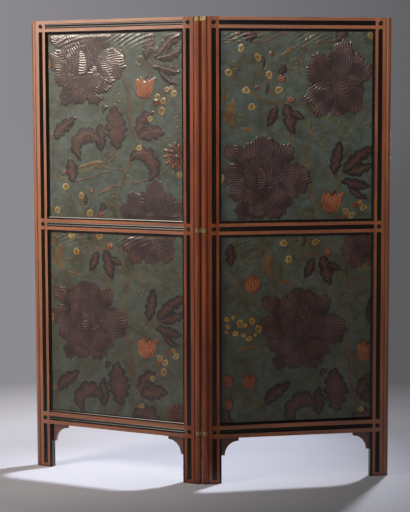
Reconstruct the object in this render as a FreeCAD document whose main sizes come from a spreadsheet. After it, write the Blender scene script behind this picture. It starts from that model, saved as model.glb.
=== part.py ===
import FreeCAD, Part
import math
import os

import Sketcher

# Two-leaf folding screen: moulded mahogany frames with ebonised trim, leather panels in front,
# lining cloth behind, and brass figure-of-eight links that let the leaves fold either way.
#
# Leaf frame: X runs along the leaf from the hinge axis, -Y is the decorated front, Z is up.
# The right leaf is modelled in that frame and turned to its resting bend. The left leaf is its
# mirror image in the plane x = 0, which passes between the two hinge axes.

SIZES = (
    ("height", 1783.0, "floor to the top of the stiles"),
    ("leaf_width", 744.0, "one leaf, nosing edge to nosing edge"),
    ("thickness", 28.0, "frame, front face to back face"),
    ("rest_bend", 18.9, "degrees each leaf stands back from the line of the hinge axes"),
    ("leaf_gap", 0.6, "between the two nosings"),
    ("leg_height", 177.0, "floor to the underside of the bottom rail"),
    ("nosing_reach", 6.0, "nosing axis to the quirk"),
    ("quirk_width", 4.0, "groove between nosing and face"),
    ("quirk_depth", 2.5, "groove below the face"),
    ("outer_fillet", 13.5, "flat between quirk and channel"),
    ("channel_width", 17.5, "sunk channel of a stile"),
    ("inner_fillet", 11.0, "flat between channel and panel opening"),
    ("channel_depth", 4.0, "channels and roundel seats below the face"),
    ("rail_height", 43.0, "top and middle rail"),
    ("bottom_rail_height", 49.0, "bottom rail"),
    ("rail_channel", 18.0, "sunk channel of a rail, along its middle"),
    ("foot_margin", 15.0, "floor to the end of a stile's lowest channel"),
    ("tenon_length", 34.0, "rail tenon in its stile"),
    ("tenon_thickness", 9.0, "rail tenon, front to back"),
    ("tenon_shoulder", 6.5, "rail edge to tenon edge"),
    ("glue_gap", 0.2, "mortise beyond the tenon's end"),
    ("strip_fit", 0.1, "strips and roundels to the walls of their seats"),
    ("strip_base", 1.8, "solid back of a reeded strip"),
    ("reed_rise", 1.8, "crown of a reed above the strip's back"),
    ("roundel_radius", 9.0, "seat of a turned roundel"),
    ("roundel_back", 2.4, "solid back of a roundel"),
    ("ring_width", 4.2, "raised ring of a roundel"),
    ("ring_rise", 1.4, "crown of that ring"),
    ("button_radius", 3.2, "domed middle of a roundel"),
    ("button_rise", 1.3, "crown of that dome"),
    ("panel_sink", 10.0, "front face to the leather"),
    ("panel_fit", 0.5, "panel edges to the frame"),
    ("leather_thickness", 1.6, "leather"),
    ("strainer_thickness", 10.0, "pine strainer"),
    ("strainer_width", 45.0, "bars of the strainer"),
    ("lining_thickness", 0.8, "cloth on the back"),
    ("layer_gap", 0.1, "between the layers and bars of a panel"),
    ("bead_width", 9.5, "sight bead and back bead"),
    ("bead_sink", 1.5, "bead crown below the frame's face"),
    ("bead_edge", 2.5, "thin edge of a bead against the panel"),
    ("slip_width", 8.5, "ebonised slip on a foot's inner edge"),
    ("slip_round", 3.0, "rounded arris of that slip"),
    ("bracket_reach", 69.0, "corner bracket along the rail and along the foot"),
    ("bracket_step", 14.0, "square ends of the bracket"),
    ("bracket_sink", 12.0, "front face to the bracket"),
    ("bracket_thickness", 11.0, "corner bracket"),
    ("link_height", 16.0, "brass link along the hinge axis"),
    ("link_drop", 4.0, "rail's middle to the link's middle"),
    ("link_setback", 1.5, "link eye inside the nosing's surface"),
    ("link_neck", 8.0, "waist of the link"),
    ("link_edge", 0.8, "rounded edges of the link"),
    ("eye_play", 0.3, "link to the walls of its slot"),
    ("neck_play", 1.5, "link's waist to the shoulder of its slot"),
    ("pin_radius", 3.0, "hinge pin"),
    ("pin_fit", 0.05, "hinge pin to the holes that it runs in"),
    ("pin_seat", 16.0, "hinge pin in the wood beyond its slot"),
)

doc = FreeCAD.newDocument("folding_screen")
sheet = doc.addObject("Spreadsheet::Sheet", "Sizes")


class Size:
    """A length or an angle that carries its value and the sheet expression that drives it."""

    def __init__(self, text, value):
        self.text = text
        self.value = value

    def __add__(self, other):
        other = as_size(other)
        return Size(f"({self.text} + {other.text})", self.value + other.value)

    def __sub__(self, other):
        other = as_size(other)
        return Size(f"({self.text} - {other.text})", self.value - other.value)

    def __mul__(self, other):
        other = as_size(other)
        return Size(f"({self.text} * {other.text})", self.value * other.value)

    def __truediv__(self, other):
        other = as_size(other)
        return Size(f"({self.text} / {other.text})", self.value / other.value)

    def __neg__(self):
        return Size(f"(0 - {self.text})", -self.value)


def as_size(number):
    """A plain number as a Size."""
    if isinstance(number, Size):
        return number
    return Size(repr(float(number)), float(number))


def root(size):
    return Size(f"sqrt({size.text})", math.sqrt(size.value))


def sine(angle):
    return Size(f"sin({angle.text})", math.sin(math.radians(angle.value)))


def cosine(angle):
    return Size(f"cos({angle.text})", math.cos(math.radians(angle.value)))


def chord_height(radius, offset):
    """Half the chord of a circle at an offset from its centre."""
    return root(radius * radius - offset * offset)


def fill_sheet():
    """Write the driving dimensions and return them as Sizes."""
    sizes = {}
    for row, (name, value, note) in enumerate(SIZES, start=1):
        sheet.set(f"A{row}", name)
        sheet.set(f"B{row}", str(value))
        sheet.set(f"C{row}", note)
        sheet.setAlias(f"B{row}", name)
        sizes[name] = Size(f"Sizes.{name}", value)
    doc.recompute()
    return sizes


size = fill_sheet()

# Places that several pieces share
ZERO = as_size(0)
# Crown of a quarter circle above its chord, as a share of the radius
QUARTER_SAG = 1 - math.sqrt(1 / 2)
half = size["thickness"] / 2
axis_span = size["leaf_width"] - size["thickness"]
hinge_pitch = size["thickness"] + size["leaf_gap"]
quirk_end = size["nosing_reach"] + size["quirk_width"]
channel_start = quirk_end + size["outer_fillet"]
channel_end = channel_start + size["channel_width"]
channel_middle = channel_start + size["channel_width"] / 2
stile_edge = channel_end + size["inner_fillet"]
opening_width = axis_span - stile_edge * 2
bottom_rail_top = size["leg_height"] + size["bottom_rail_height"]
top_rail_base = size["height"] - size["rail_height"]
middle_rail_base = (bottom_rail_top + top_rail_base - size["rail_height"]) / 2
opening_height = middle_rail_base - bottom_rail_top
RAIL_HEIGHTS = {
    "top": size["rail_height"],
    "middle": size["rail_height"],
    "bottom": size["bottom_rail_height"],
}
RAIL_BASES = {
    "top": top_rail_base,
    "middle": middle_rail_base,
    "bottom": size["leg_height"],
}
RAIL_MIDDLES = {name: base + RAIL_HEIGHTS[name] / 2 for name, base in RAIL_BASES.items()}
PANEL_BASES = {
    "upper": middle_rail_base + size["rail_height"],
    "lower": bottom_rail_top,
}
LINK_BASES = {
    "top": size["height"] - size["link_height"],
    "middle": RAIL_MIDDLES["middle"] - size["link_height"] / 2 - size["link_drop"],
    "bottom": RAIL_MIDDLES["bottom"] - size["link_height"] / 2 - size["link_drop"],
}
link_eye = half - size["link_setback"]

# Depth of the layers in a panel, from the front
leather_front = size["panel_sink"] - half
sight_bead_back = leather_front - size["layer_gap"]
strainer_front = leather_front + size["leather_thickness"] + size["layer_gap"]
lining_front = strainer_front + size["strainer_thickness"] + size["layer_gap"]
back_bead_front = lining_front + size["lining_thickness"] + size["layer_gap"]

# Where the right leaf stands: the hinge axes lie on a line that puts the origin in the middle
# of the resting screen
pivot_x = hinge_pitch / 2
pivot_y = -(axis_span * sine(size["rest_bend"]) / 2)
Z_AXIS = FreeCAD.Vector(0, 0, 1)
FACING = {
    "XY_Plane": FreeCAD.Rotation(),
    "XZ_Plane": FreeCAD.Rotation(FreeCAD.Vector(1, 0, 0), 90),
    "YZ_Plane": FreeCAD.Rotation(FreeCAD.Vector(1, 1, 1), 120),
}


def bind(thing, prop, value):
    """Drive one property of a document object by a Size."""
    thing.setExpression(prop, value.text)


def vector(x, y):
    return FreeCAD.Vector(x.value, y.value, 0)


def place(thing, x=ZERO, y=ZERO, z=ZERO):
    """Put an upright piece at a point of the right leaf's frame."""
    bend = size["rest_bend"]
    base_x = pivot_x + x * cosine(bend) - y * sine(bend)
    base_y = pivot_y + x * sine(bend) + y * cosine(bend)
    base = FreeCAD.Vector(base_x.value, base_y.value, z.value)
    thing.Placement = FreeCAD.Placement(base, FreeCAD.Rotation(Z_AXIS, bend.value))
    bind(thing, "Placement.Base.x", base_x)
    bind(thing, "Placement.Base.y", base_y)
    bind(thing, "Placement.Base.z", z)
    bind(thing, "Placement.Rotation.Angle", bend)


def shift(thing, x=ZERO, y=ZERO, z=ZERO, turn=None):
    """Put one piece of a group at its place in the leaf, before the group is placed."""
    turn = turn or FreeCAD.Rotation()
    thing.Placement = FreeCAD.Placement(FreeCAD.Vector(x.value, y.value, z.value), turn)
    bind(thing, "Placement.Base.x", x)
    bind(thing, "Placement.Base.y", y)
    bind(thing, "Placement.Base.z", z)


def origin_plane(body, role):
    for feature in body.Origin.OriginFeatures:
        if feature.Role == role:
            return feature
    raise ValueError(f"{body.Label} has no {role}")


def new_sketch(body, role, offset=ZERO):
    """A sketch on one of a body's origin planes, moved along the plane's normal."""
    sketch = body.newObject("Sketcher::SketchObject", f"{body.Name}_sketch")
    sketch.AttachmentSupport = [(origin_plane(body, role), "")]
    sketch.MapMode = "FlatFace"
    sketch.AttachmentOffset = FreeCAD.Placement(FreeCAD.Vector(0, 0, offset.value), FreeCAD.Rotation())
    bind(sketch, "AttachmentOffset.Base.z", offset)
    return sketch


def free_sketch(name, role):
    """A sketch that stands in no body, for an extruded section."""
    sketch = doc.addObject("Sketcher::SketchObject", f"{name}_sketch")
    sketch.Placement = FreeCAD.Placement(FreeCAD.Vector(), FACING[role])
    return sketch


def dimension(sketch, kind, references, value):
    """Add one driving dimension to a sketch and bind it to the sheet."""
    index = sketch.addConstraint(Sketcher.Constraint(kind, *references, value.value))
    bind(sketch, f"Constraints[{index}]", value)


def arc_through(start, end, bulge):
    """The arc from start to end whose crown stands bulge to the left of that way."""
    way = end - start
    left = FreeCAD.Vector(-way.y, way.x, 0)
    left.normalize()
    crown = (start + end) / 2 + left * bulge.value
    if bulge.value > 0:
        return Part.Arc(end, crown, start)
    return Part.Arc(start, crown, end)


def arc_radius(first, second, bulge):
    run = second[0] - first[0]
    rise = second[1] - first[1]
    tall = bulge if bulge.value > 0 else -bulge
    return (run * run + rise * rise) / (tall * 8) + tall / 2


def outline(sketch, corners):
    """Draw a closed outline. A corner is (x, y), or (x, y, bulge) where an arc leaves it."""
    pieces = []
    for corner, following in zip(corners, corners[1:] + corners[:1]):
        start = vector(corner[0], corner[1])
        end = vector(following[0], following[1])
        curve = arc_through(start, end, corner[2]) if len(corner) > 2 else Part.LineSegment(start, end)
        index = sketch.addGeometry(curve)
        drawn = sketch.Geometry[index]
        forward = (drawn.StartPoint - start).Length < (drawn.EndPoint - start).Length
        pieces.append((index, 1 if forward else 2, 2 if forward else 1))
    for piece, following in zip(pieces, pieces[1:] + pieces[:1]):
        meeting = (piece[0], piece[2], following[0], following[1])
        sketch.addConstraint(Sketcher.Constraint("Coincident", *meeting))
    for corner, following, piece in zip(corners, corners[1:] + corners[:1], pieces):
        dimension(sketch, "DistanceX", (-1, 1, piece[0], piece[1]), corner[0])
        dimension(sketch, "DistanceY", (-1, 1, piece[0], piece[1]), corner[1])
        if len(corner) > 2:
            dimension(sketch, "Radius", (piece[0],), arc_radius(corner, following, corner[2]))


def rectangle(sketch, left, low, right, high):
    outline(sketch, [(left, low), (right, low), (right, high), (left, high)])


def circle(sketch, x, y, radius):
    index = sketch.addGeometry(Part.Circle(vector(x, y), Z_AXIS, radius.value))
    dimension(sketch, "DistanceX", (-1, 1, index, 3), x)
    dimension(sketch, "DistanceY", (-1, 1, index, 3), y)
    dimension(sketch, "Radius", (index,), radius)


def new_body(label):
    body = doc.addObject("PartDesign::Body", label)
    body.Label = label
    return body


def pad(body, sketch, length):
    feature = body.newObject("PartDesign::Pad", f"{body.Name}_pad")
    feature.Profile = sketch
    bind(feature, "Length", length)
    doc.recompute()
    return feature


def pocket(body, sketch, depth, towards_normal=False):
    """Cut a sketch into a body, against its normal unless told otherwise."""
    before = body.Shape.Volume
    feature = body.newObject("PartDesign::Pocket", f"{body.Name}_pocket")
    feature.Profile = sketch
    feature.Reversed = towards_normal
    bind(feature, "Length", depth)
    doc.recompute()
    if not body.Shape.Volume < before:
        raise ValueError(f"a pocket cuts nothing from {body.Label}")
    return feature


def extrude(name, sketch, length):
    feature = doc.addObject("Part::Extrusion", name)
    feature.Base = sketch
    feature.DirMode = "Normal"
    feature.Solid = True
    bind(feature, "LengthFwd", length)
    return feature


def block(name, length, depth, tall):
    feature = doc.addObject("Part::Box", name)
    bind(feature, "Length", length)
    bind(feature, "Width", depth)
    bind(feature, "Height", tall)
    return feature


def group(label, members):
    """Separate solids that share one node."""
    compound = doc.addObject("Part::Compound", label)
    compound.Label = label
    compound.Links = members
    return compound


def from_axis(hand, distance):
    """A place measured inwards from the hinge axis (hand 1) or from the outer nosing (hand -1)."""
    return distance if hand > 0 else axis_span - distance


def channel_spans():
    """Lower and upper end of the sunk channels of a stile."""
    return (
        (size["foot_margin"], size["leg_height"]),
        (bottom_rail_top, middle_rail_base),
        (middle_rail_base + size["rail_height"], top_rail_base),
    )


# Stiles, with a round nosing, quirks, channels, roundel seats and mortises
def stile_section(sketch, hand):
    radius = half
    reach = size["nosing_reach"]
    floor = half - size["quirk_depth"]
    rim = chord_height(radius, reach)
    crown = (radius + reach) * -hand
    outline(sketch, [
        (from_axis(hand, quirk_end), -half),
        (from_axis(hand, stile_edge), -half),
        (from_axis(hand, stile_edge), half),
        (from_axis(hand, quirk_end), half),
        (from_axis(hand, quirk_end), floor),
        (from_axis(hand, reach), floor),
        (from_axis(hand, reach), rim, crown),
        (from_axis(hand, reach), -rim),
        (from_axis(hand, reach), -floor),
        (from_axis(hand, quirk_end), -floor),
    ])


def make_stile(label, hand):
    body = new_body(label)
    section = new_sketch(body, "XY_Plane")
    stile_section(section, hand)
    pad(body, section, size["height"])
    face = new_sketch(body, "XZ_Plane", half)
    for low, high in channel_spans():
        rectangle(face, from_axis(hand, channel_start), low, from_axis(hand, channel_end), high)
    for middle in RAIL_MIDDLES.values():
        circle(face, from_axis(hand, channel_middle), middle, size["roundel_radius"])
    pocket(body, face, size["channel_depth"])
    edge = new_sketch(body, "YZ_Plane", from_axis(hand, stile_edge))
    for name, base in RAIL_BASES.items():
        low = base + size["tenon_shoulder"]
        high = base + RAIL_HEIGHTS[name] - size["tenon_shoulder"]
        rectangle(edge, -(size["tenon_thickness"] / 2), low, size["tenon_thickness"] / 2, high)
    pocket(body, edge, size["tenon_length"] + size["glue_gap"], towards_normal=hand < 0)
    return body


def cut_hinge_slots(body):
    """Open the nosing for each link, with a round seat for its eye and holes for its pin."""
    play = size["eye_play"]
    seat = link_eye + play
    shoulder = size["link_neck"] / 2 + size["neck_play"]
    rim = chord_height(seat, shoulder)
    outside = half + size["leaf_gap"]
    for name, base in LINK_BASES.items():
        head = size["height"] if name == "top" else base + size["link_height"] + play
        low = base - play
        slot = new_sketch(body, "XY_Plane", head)
        outline(slot, [
            (-outside, -outside),
            (shoulder, -outside),
            (shoulder, -rim, -(seat - shoulder)),
            (shoulder, rim),
            (shoulder, outside),
            (-outside, outside),
        ])
        pocket(body, slot, head - low)
        bore_top = head if name == "top" else head + size["pin_seat"]
        bore = new_sketch(body, "XY_Plane", bore_top)
        circle(bore, ZERO, ZERO, size["pin_radius"] + size["pin_fit"])
        pocket(body, bore, bore_top - low + size["pin_seat"])


# Rails, tenoned at both ends, with one sunk channel
def make_rail(label, name):
    body = new_body(label)
    base = RAIL_BASES[name]
    high = base + RAIL_HEIGHTS[name]
    face = new_sketch(body, "YZ_Plane", stile_edge)
    rectangle(face, -half, base, half, high)
    pad(body, face, opening_width)
    tenon = new_sketch(body, "YZ_Plane", stile_edge - size["tenon_length"])
    thick = size["tenon_thickness"] / 2
    rectangle(tenon, -thick, base + size["tenon_shoulder"], thick, high - size["tenon_shoulder"])
    pad(body, tenon, opening_width + size["tenon_length"] * 2)
    channel = new_sketch(body, "XZ_Plane", half)
    low_wall = RAIL_MIDDLES[name] - size["rail_channel"] / 2
    high_wall = RAIL_MIDDLES[name] + size["rail_channel"] / 2
    rectangle(channel, stile_edge, low_wall, stile_edge + opening_width, high_wall)
    pocket(body, channel, size["channel_depth"])
    return body


# Ebonised strips with two reeds, lying in the channels
def reeded_strip(name, role, width, length):
    """A strip lying in a channel of that width, upright or level, with its reeds facing -Y."""
    near = size["strip_fit"]
    far = width - size["strip_fit"]
    back = size["channel_depth"] - half
    edge = back - size["strip_base"]
    crown = size["reed_rise"]
    sketch = free_sketch(name, role)
    if role == "XY_Plane":
        outline(sketch, [
            (near, back),
            (near, edge, -crown),
            (width / 2, edge, -crown),
            (far, edge),
            (far, back),
        ])
    else:
        outline(sketch, [
            (back, near),
            (edge, near, crown),
            (edge, width / 2, crown),
            (edge, far),
            (back, far),
        ])
    return extrude(name, sketch, length)


def make_stile_strips(label):
    strips = []
    width = size["channel_width"]
    for side, left in (("hinge", channel_start), ("outer", axis_span - channel_end)):
        for number, (low, high) in enumerate(channel_spans()):
            length = high - low - size["strip_fit"] * 2
            strip = reeded_strip(f"{label}_{side}_{number}", "XY_Plane", width, length)
            shift(strip, left, ZERO, low + size["strip_fit"])
            strips.append(strip)
    return group(label, strips)


def make_rail_strips(label):
    strips = []
    width = size["rail_channel"]
    for rail, middle in RAIL_MIDDLES.items():
        length = opening_width - size["strip_fit"] * 2
        strip = reeded_strip(f"{label}_{rail}", "YZ_Plane", width, length)
        shift(strip, stile_edge + size["strip_fit"], ZERO, middle - width / 2)
        strips.append(strip)
    return group(label, strips)


# Turned roundels at the crossings of stiles and rails
def turned_roundel(label):
    body = new_body(label)
    radius = size["roundel_radius"] - size["strip_fit"]
    back = size["channel_depth"] - half
    flat = back - size["roundel_back"]
    ring_inside = radius - size["ring_width"]
    profile = new_sketch(body, "XY_Plane")
    dome = size["button_radius"]
    crown = size["button_rise"]
    dome_radius = (dome * dome + crown * crown) / (crown * 2)
    dome_bulge = dome_radius - root(dome_radius * dome_radius - (dome * dome + crown * crown) / 4)
    outline(profile, [
        (ZERO, back),
        (radius, back),
        (radius, flat, size["ring_rise"]),
        (ring_inside, flat),
        (dome, flat, dome_bulge),
        (ZERO, flat - crown),
    ])
    turned = body.newObject("PartDesign::Revolution", f"{label}_turned")
    turned.Profile = profile
    turned.ReferenceAxis = (profile, ["V_Axis"])
    turned.Angle = 360
    return body


def make_roundels(label):
    roundels = []
    for hand in (1, -1):
        for rail, middle in RAIL_MIDDLES.items():
            side = "hinge" if hand > 0 else "outer"
            roundel = turned_roundel(f"{label}_{side}_{rail}")
            shift(roundel, from_axis(hand, channel_middle), ZERO, middle)
            roundels.append(roundel)
    return group(label, roundels)


# Mitred beads that hold a panel from the front and from the back
def mitred_bead(name, length, depth, front):
    """A bead strip along X. Its outer edge is z = 0, and its rounded side faces front (-1 or 1)."""
    width = size["bead_width"]
    section = free_sketch(f"{name}_section", "YZ_Plane")
    edge = size["bead_edge"]
    fall = depth - edge
    sag = root(fall * fall + width * width) * size["bead_edge"] / (size["bead_width"] * 2)
    outline(section, [
        (ZERO, ZERO),
        (depth * front, ZERO, sag * front),
        (edge * front, width),
        (ZERO, width),
    ])
    bar = extrude(f"{name}_bar", section, length)
    plan = free_sketch(f"{name}_plan", "XZ_Plane")
    outline(plan, [
        (ZERO, ZERO),
        (length, ZERO),
        (length - width, width),
        (width, width),
    ])
    mitre = extrude(f"{name}_mitre", plan, depth)
    if front > 0:
        shift(mitre, ZERO, depth, ZERO)
    bead = doc.addObject("Part::Common", name)
    bead.Base = bar
    bead.Tool = mitre
    return bead


def make_bead_frame(label, base, seat, depth, front):
    """Four mitred strips round a panel opening, standing on the depth named seat."""
    right = stile_edge + opening_width
    high = base + opening_height
    y_axis = FreeCAD.Vector(0, 1, 0)
    sides = (
        ("bottom", opening_width, stile_edge, base, 0),
        ("left", opening_height, stile_edge, high, 90),
        ("top", opening_width, right, high, 180),
        ("right", opening_height, right, base, -90),
    )
    beads = []
    for side, length, x, z, turn in sides:
        bead = mitred_bead(f"{label}_{side}", length, depth, front)
        shift(bead, x, seat, z, FreeCAD.Rotation(y_axis, turn))
        beads.append(bead)
    return group(label, beads)


# Panel layers: leather, pine strainer and lining cloth
def make_sheet(label, base, front, thick):
    clear = size["panel_fit"]
    panel = block(label, opening_width - clear * 2, thick, opening_height - clear * 2)
    panel.Label = label
    place(panel, stile_edge + clear, front, base + clear)
    return panel


def make_strainer(label, base):
    clear = size["panel_fit"]
    bar = size["strainer_width"]
    thick = size["strainer_thickness"]
    left = stile_edge + clear
    wide = opening_width - clear * 2
    low = base + clear
    tall = opening_height - clear * 2
    bars = []
    for name, x in (("left", left), ("right", left + wide - bar)):
        upright = block(f"{label}_{name}", bar, thick, tall)
        shift(upright, x, strainer_front, low)
        bars.append(upright)
    for name, z in (("bottom", low), ("middle", low + (tall - bar) / 2), ("top", low + tall - bar)):
        cross = block(f"{label}_{name}", wide - (bar + size["layer_gap"]) * 2, thick, bar)
        shift(cross, left + bar + size["layer_gap"], strainer_front, z)
        bars.append(cross)
    return group(label, bars)


# Feet: ebonised slips on their inner edges, and corner brackets under the bottom rail
def make_foot_slips(label):
    slips = []
    for hand, side in ((1, "hinge"), (-1, "outer")):
        near = from_axis(hand, stile_edge)
        far = from_axis(hand, stile_edge + size["slip_width"])
        inset = from_axis(hand, stile_edge + size["slip_width"] - size["slip_round"])
        front = size["bead_sink"] - half
        back = half - size["bead_sink"]
        round_bulge = size["slip_round"] * QUARTER_SAG * hand
        sketch = free_sketch(f"{label}_{side}", "XY_Plane")
        outline(sketch, [
            (near, front),
            (inset, front, -round_bulge),
            (far, front + size["slip_round"]),
            (far, back),
            (near, back),
        ])
        slips.append(extrude(f"{label}_{side}", sketch, size["leg_height"]))
    return group(label, slips)


def make_bracket(label, hand):
    body = new_body(label)
    near = stile_edge + size["slip_width"]
    far = near + size["bracket_reach"]
    step = size["bracket_step"]
    top = size["leg_height"]
    low = top - size["bracket_reach"]
    sweep = size["bracket_reach"] - step
    hollow = sweep * QUARTER_SAG * hand
    back = size["bracket_sink"] + size["bracket_thickness"] - half
    face = new_sketch(body, "XZ_Plane", -back)
    outline(face, [
        (from_axis(hand, near), top),
        (from_axis(hand, near), low),
        (from_axis(hand, near + step), low, hollow),
        (from_axis(hand, far), top - step),
        (from_axis(hand, far), top),
    ])
    pad(body, face, size["bracket_thickness"])
    return body


# Hinge: brass figure-of-eight links and the pins that they turn on
def make_pins(label):
    pins = []
    for name, base in LINK_BASES.items():
        pin = doc.addObject("Part::Cylinder", f"{label}_{name}")
        beyond = size["eye_play"] + size["pin_seat"]
        low = base - beyond
        high = base + size["link_height"]
        if name != "top":
            high = high + beyond
        bind(pin, "Radius", size["pin_radius"])
        bind(pin, "Height", high - low)
        shift(pin, ZERO, ZERO, low)
        pins.append(pin)
    return group(label, pins)


def make_link(label, base):
    body = new_body(label)
    waist = size["link_neck"] / 2
    hollow = (pivot_x * pivot_x + waist * waist - link_eye * link_eye) / ((link_eye - waist) * 2)
    share = link_eye / (link_eye + hollow)
    meet_x = pivot_x - pivot_x * share
    meet_y = (waist + hollow) * share
    eye_bulge = link_eye + pivot_x * share
    waist_bulge = meet_y - waist
    plan = new_sketch(body, "XY_Plane")
    outline(plan, [
        (-meet_x, -meet_y, waist_bulge),
        (meet_x, -meet_y, -eye_bulge),
        (meet_x, meet_y, waist_bulge),
        (-meet_x, meet_y, -eye_bulge),
    ])
    blank = pad(body, plan, size["link_height"])
    rims = []
    for number, edge in enumerate(body.Shape.Edges, start=1):
        if edge.BoundBox.ZLength < size["link_edge"].value:
            rims.append(f"Edge{number}")
    eased = body.newObject("PartDesign::Fillet", f"{label}_eased")
    eased.Base = (blank, rims)
    bind(eased, "Radius", size["link_edge"])
    doc.recompute()
    eyes = new_sketch(body, "XY_Plane", size["link_height"])
    for side in (-pivot_x, pivot_x):
        circle(eyes, side, ZERO, size["pin_radius"] + size["pin_fit"])
    pocket(body, eyes, size["link_height"])
    body.Placement = FreeCAD.Placement(FreeCAD.Vector(0, pivot_y.value, base.value), FreeCAD.Rotation())
    bind(body, "Placement.Base.y", pivot_y)
    bind(body, "Placement.Base.z", base)
    return body


def make_right_leaf():
    """All pieces of the right leaf, in place."""
    pieces = [make_stile("right_hinge_stile", 1), make_stile("right_outer_stile", -1)]
    cut_hinge_slots(pieces[0])
    for name in RAIL_BASES:
        pieces.append(make_rail(f"right_{name}_rail", name))
    pieces.append(make_stile_strips("right_stile_strips"))
    pieces.append(make_rail_strips("right_rail_strips"))
    pieces.append(make_roundels("right_roundels"))
    front_depth = sight_bead_back + half - size["bead_sink"]
    back_depth = half - back_bead_front - size["bead_sink"]
    for name, base in PANEL_BASES.items():
        pieces.append(make_bead_frame(f"right_{name}_sight_bead", base, sight_bead_back, front_depth, -1))
        pieces.append(make_strainer(f"right_{name}_strainer", base))
        pieces.append(make_bead_frame(f"right_{name}_back_bead", base, back_bead_front, back_depth, 1))
    pieces.append(make_foot_slips("right_foot_slips"))
    pieces.append(make_bracket("right_hinge_bracket", 1))
    pieces.append(make_bracket("right_outer_bracket", -1))
    pieces.append(make_pins("right_hinge_pins"))
    for piece in pieces:
        place(piece)
    for name, base in PANEL_BASES.items():
        pieces.append(make_sheet(f"right_{name}_leather", base, leather_front, size["leather_thickness"]))
        pieces.append(make_sheet(f"right_{name}_lining", base, lining_front, size["lining_thickness"]))
    return pieces


def mirror_leaf(pieces):
    """The left leaf: each piece of the right leaf mirrored between the hinge axes."""
    mirrored = []
    for piece in pieces:
        label = piece.Label.replace("right_", "left_")
        copy = doc.addObject("Part::Mirroring", label)
        copy.Label = label
        copy.Source = piece
        copy.Base = FreeCAD.Vector(0, 0, 0)
        copy.Normal = FreeCAD.Vector(1, 0, 0)
        mirrored.append(copy)
    return mirrored


def write_parts(pieces):
    """Check every object of the document, then write one file for each piece."""
    doc.recompute()
    for thing in doc.Objects:
        if "Invalid" in thing.State or "Error" in thing.State:
            raise ValueError(f"{thing.Label} did not build")
    for piece in pieces:
        if piece.Shape.isNull() or not piece.Shape.isValid():
            raise ValueError(f"{piece.Label} has no valid shape")
    os.makedirs("parts", exist_ok=True)
    for piece in pieces:
        piece.Shape.exportStep(f"parts/{piece.Label}.step")


right_leaf = make_right_leaf()
left_leaf = mirror_leaf(right_leaf)
links = [make_link(f"{name}_hinge_link", base) for name, base in LINK_BASES.items()]
write_parts(left_leaf + links + right_leaf)
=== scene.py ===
import math

import bpy
import numpy as np
from mathutils import Matrix, Vector


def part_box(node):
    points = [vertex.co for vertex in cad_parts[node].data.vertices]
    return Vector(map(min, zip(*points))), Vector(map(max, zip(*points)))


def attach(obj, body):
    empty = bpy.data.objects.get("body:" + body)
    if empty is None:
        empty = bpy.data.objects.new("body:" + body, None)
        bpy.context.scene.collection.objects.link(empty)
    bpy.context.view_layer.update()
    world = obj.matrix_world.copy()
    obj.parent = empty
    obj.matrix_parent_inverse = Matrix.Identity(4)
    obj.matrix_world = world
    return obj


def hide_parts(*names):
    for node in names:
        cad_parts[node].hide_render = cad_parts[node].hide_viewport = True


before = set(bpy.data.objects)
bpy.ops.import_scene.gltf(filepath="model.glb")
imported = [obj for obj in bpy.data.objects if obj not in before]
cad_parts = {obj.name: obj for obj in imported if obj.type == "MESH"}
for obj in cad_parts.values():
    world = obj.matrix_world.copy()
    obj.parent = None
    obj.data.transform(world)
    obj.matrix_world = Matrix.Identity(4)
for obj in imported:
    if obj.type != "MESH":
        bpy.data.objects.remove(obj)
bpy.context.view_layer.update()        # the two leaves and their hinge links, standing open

bl_info = {
    "name": "Leather Folding Screen",
    "version": (1, 0, 0),
    "blender": (4, 5, 0),
    "location": "View3D > Sidebar > Screen",
    "description": "Dresses a two-leaf screen in embossed leather, mahogany, black mouldings and brass",
    "category": "Object",
}

MM = 0.001

# Each leaf stands turned by this much from the line through both, the left one the other way.
LEAF_TURN = math.radians(18.9)
HANDS = {"left": -1, "right": 1}
TIERS = ("upper", "lower")


def linear(hex_colour):
    """The linear colour of an sRGB hex value."""
    parts = [int(hex_colour[i:i + 2], 16) / 255 for i in (1, 3, 5)]
    return tuple(p / 12.92 if p <= 0.04045 else ((p + 0.055) / 1.055) ** 2.4 for p in parts)


def colour(label, about, hex_colour):
    """A colour that a user can change."""
    return bpy.props.FloatVectorProperty(
        name=label, description=about, subtype="COLOR", size=3, min=0, max=1, default=linear(hex_colour))


def length(label, about, millimetres):
    """A length that a user can change."""
    return bpy.props.FloatProperty(
        name=label, description=about, unit="LENGTH", precision=4, min=0, default=millimetres * MM)


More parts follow.
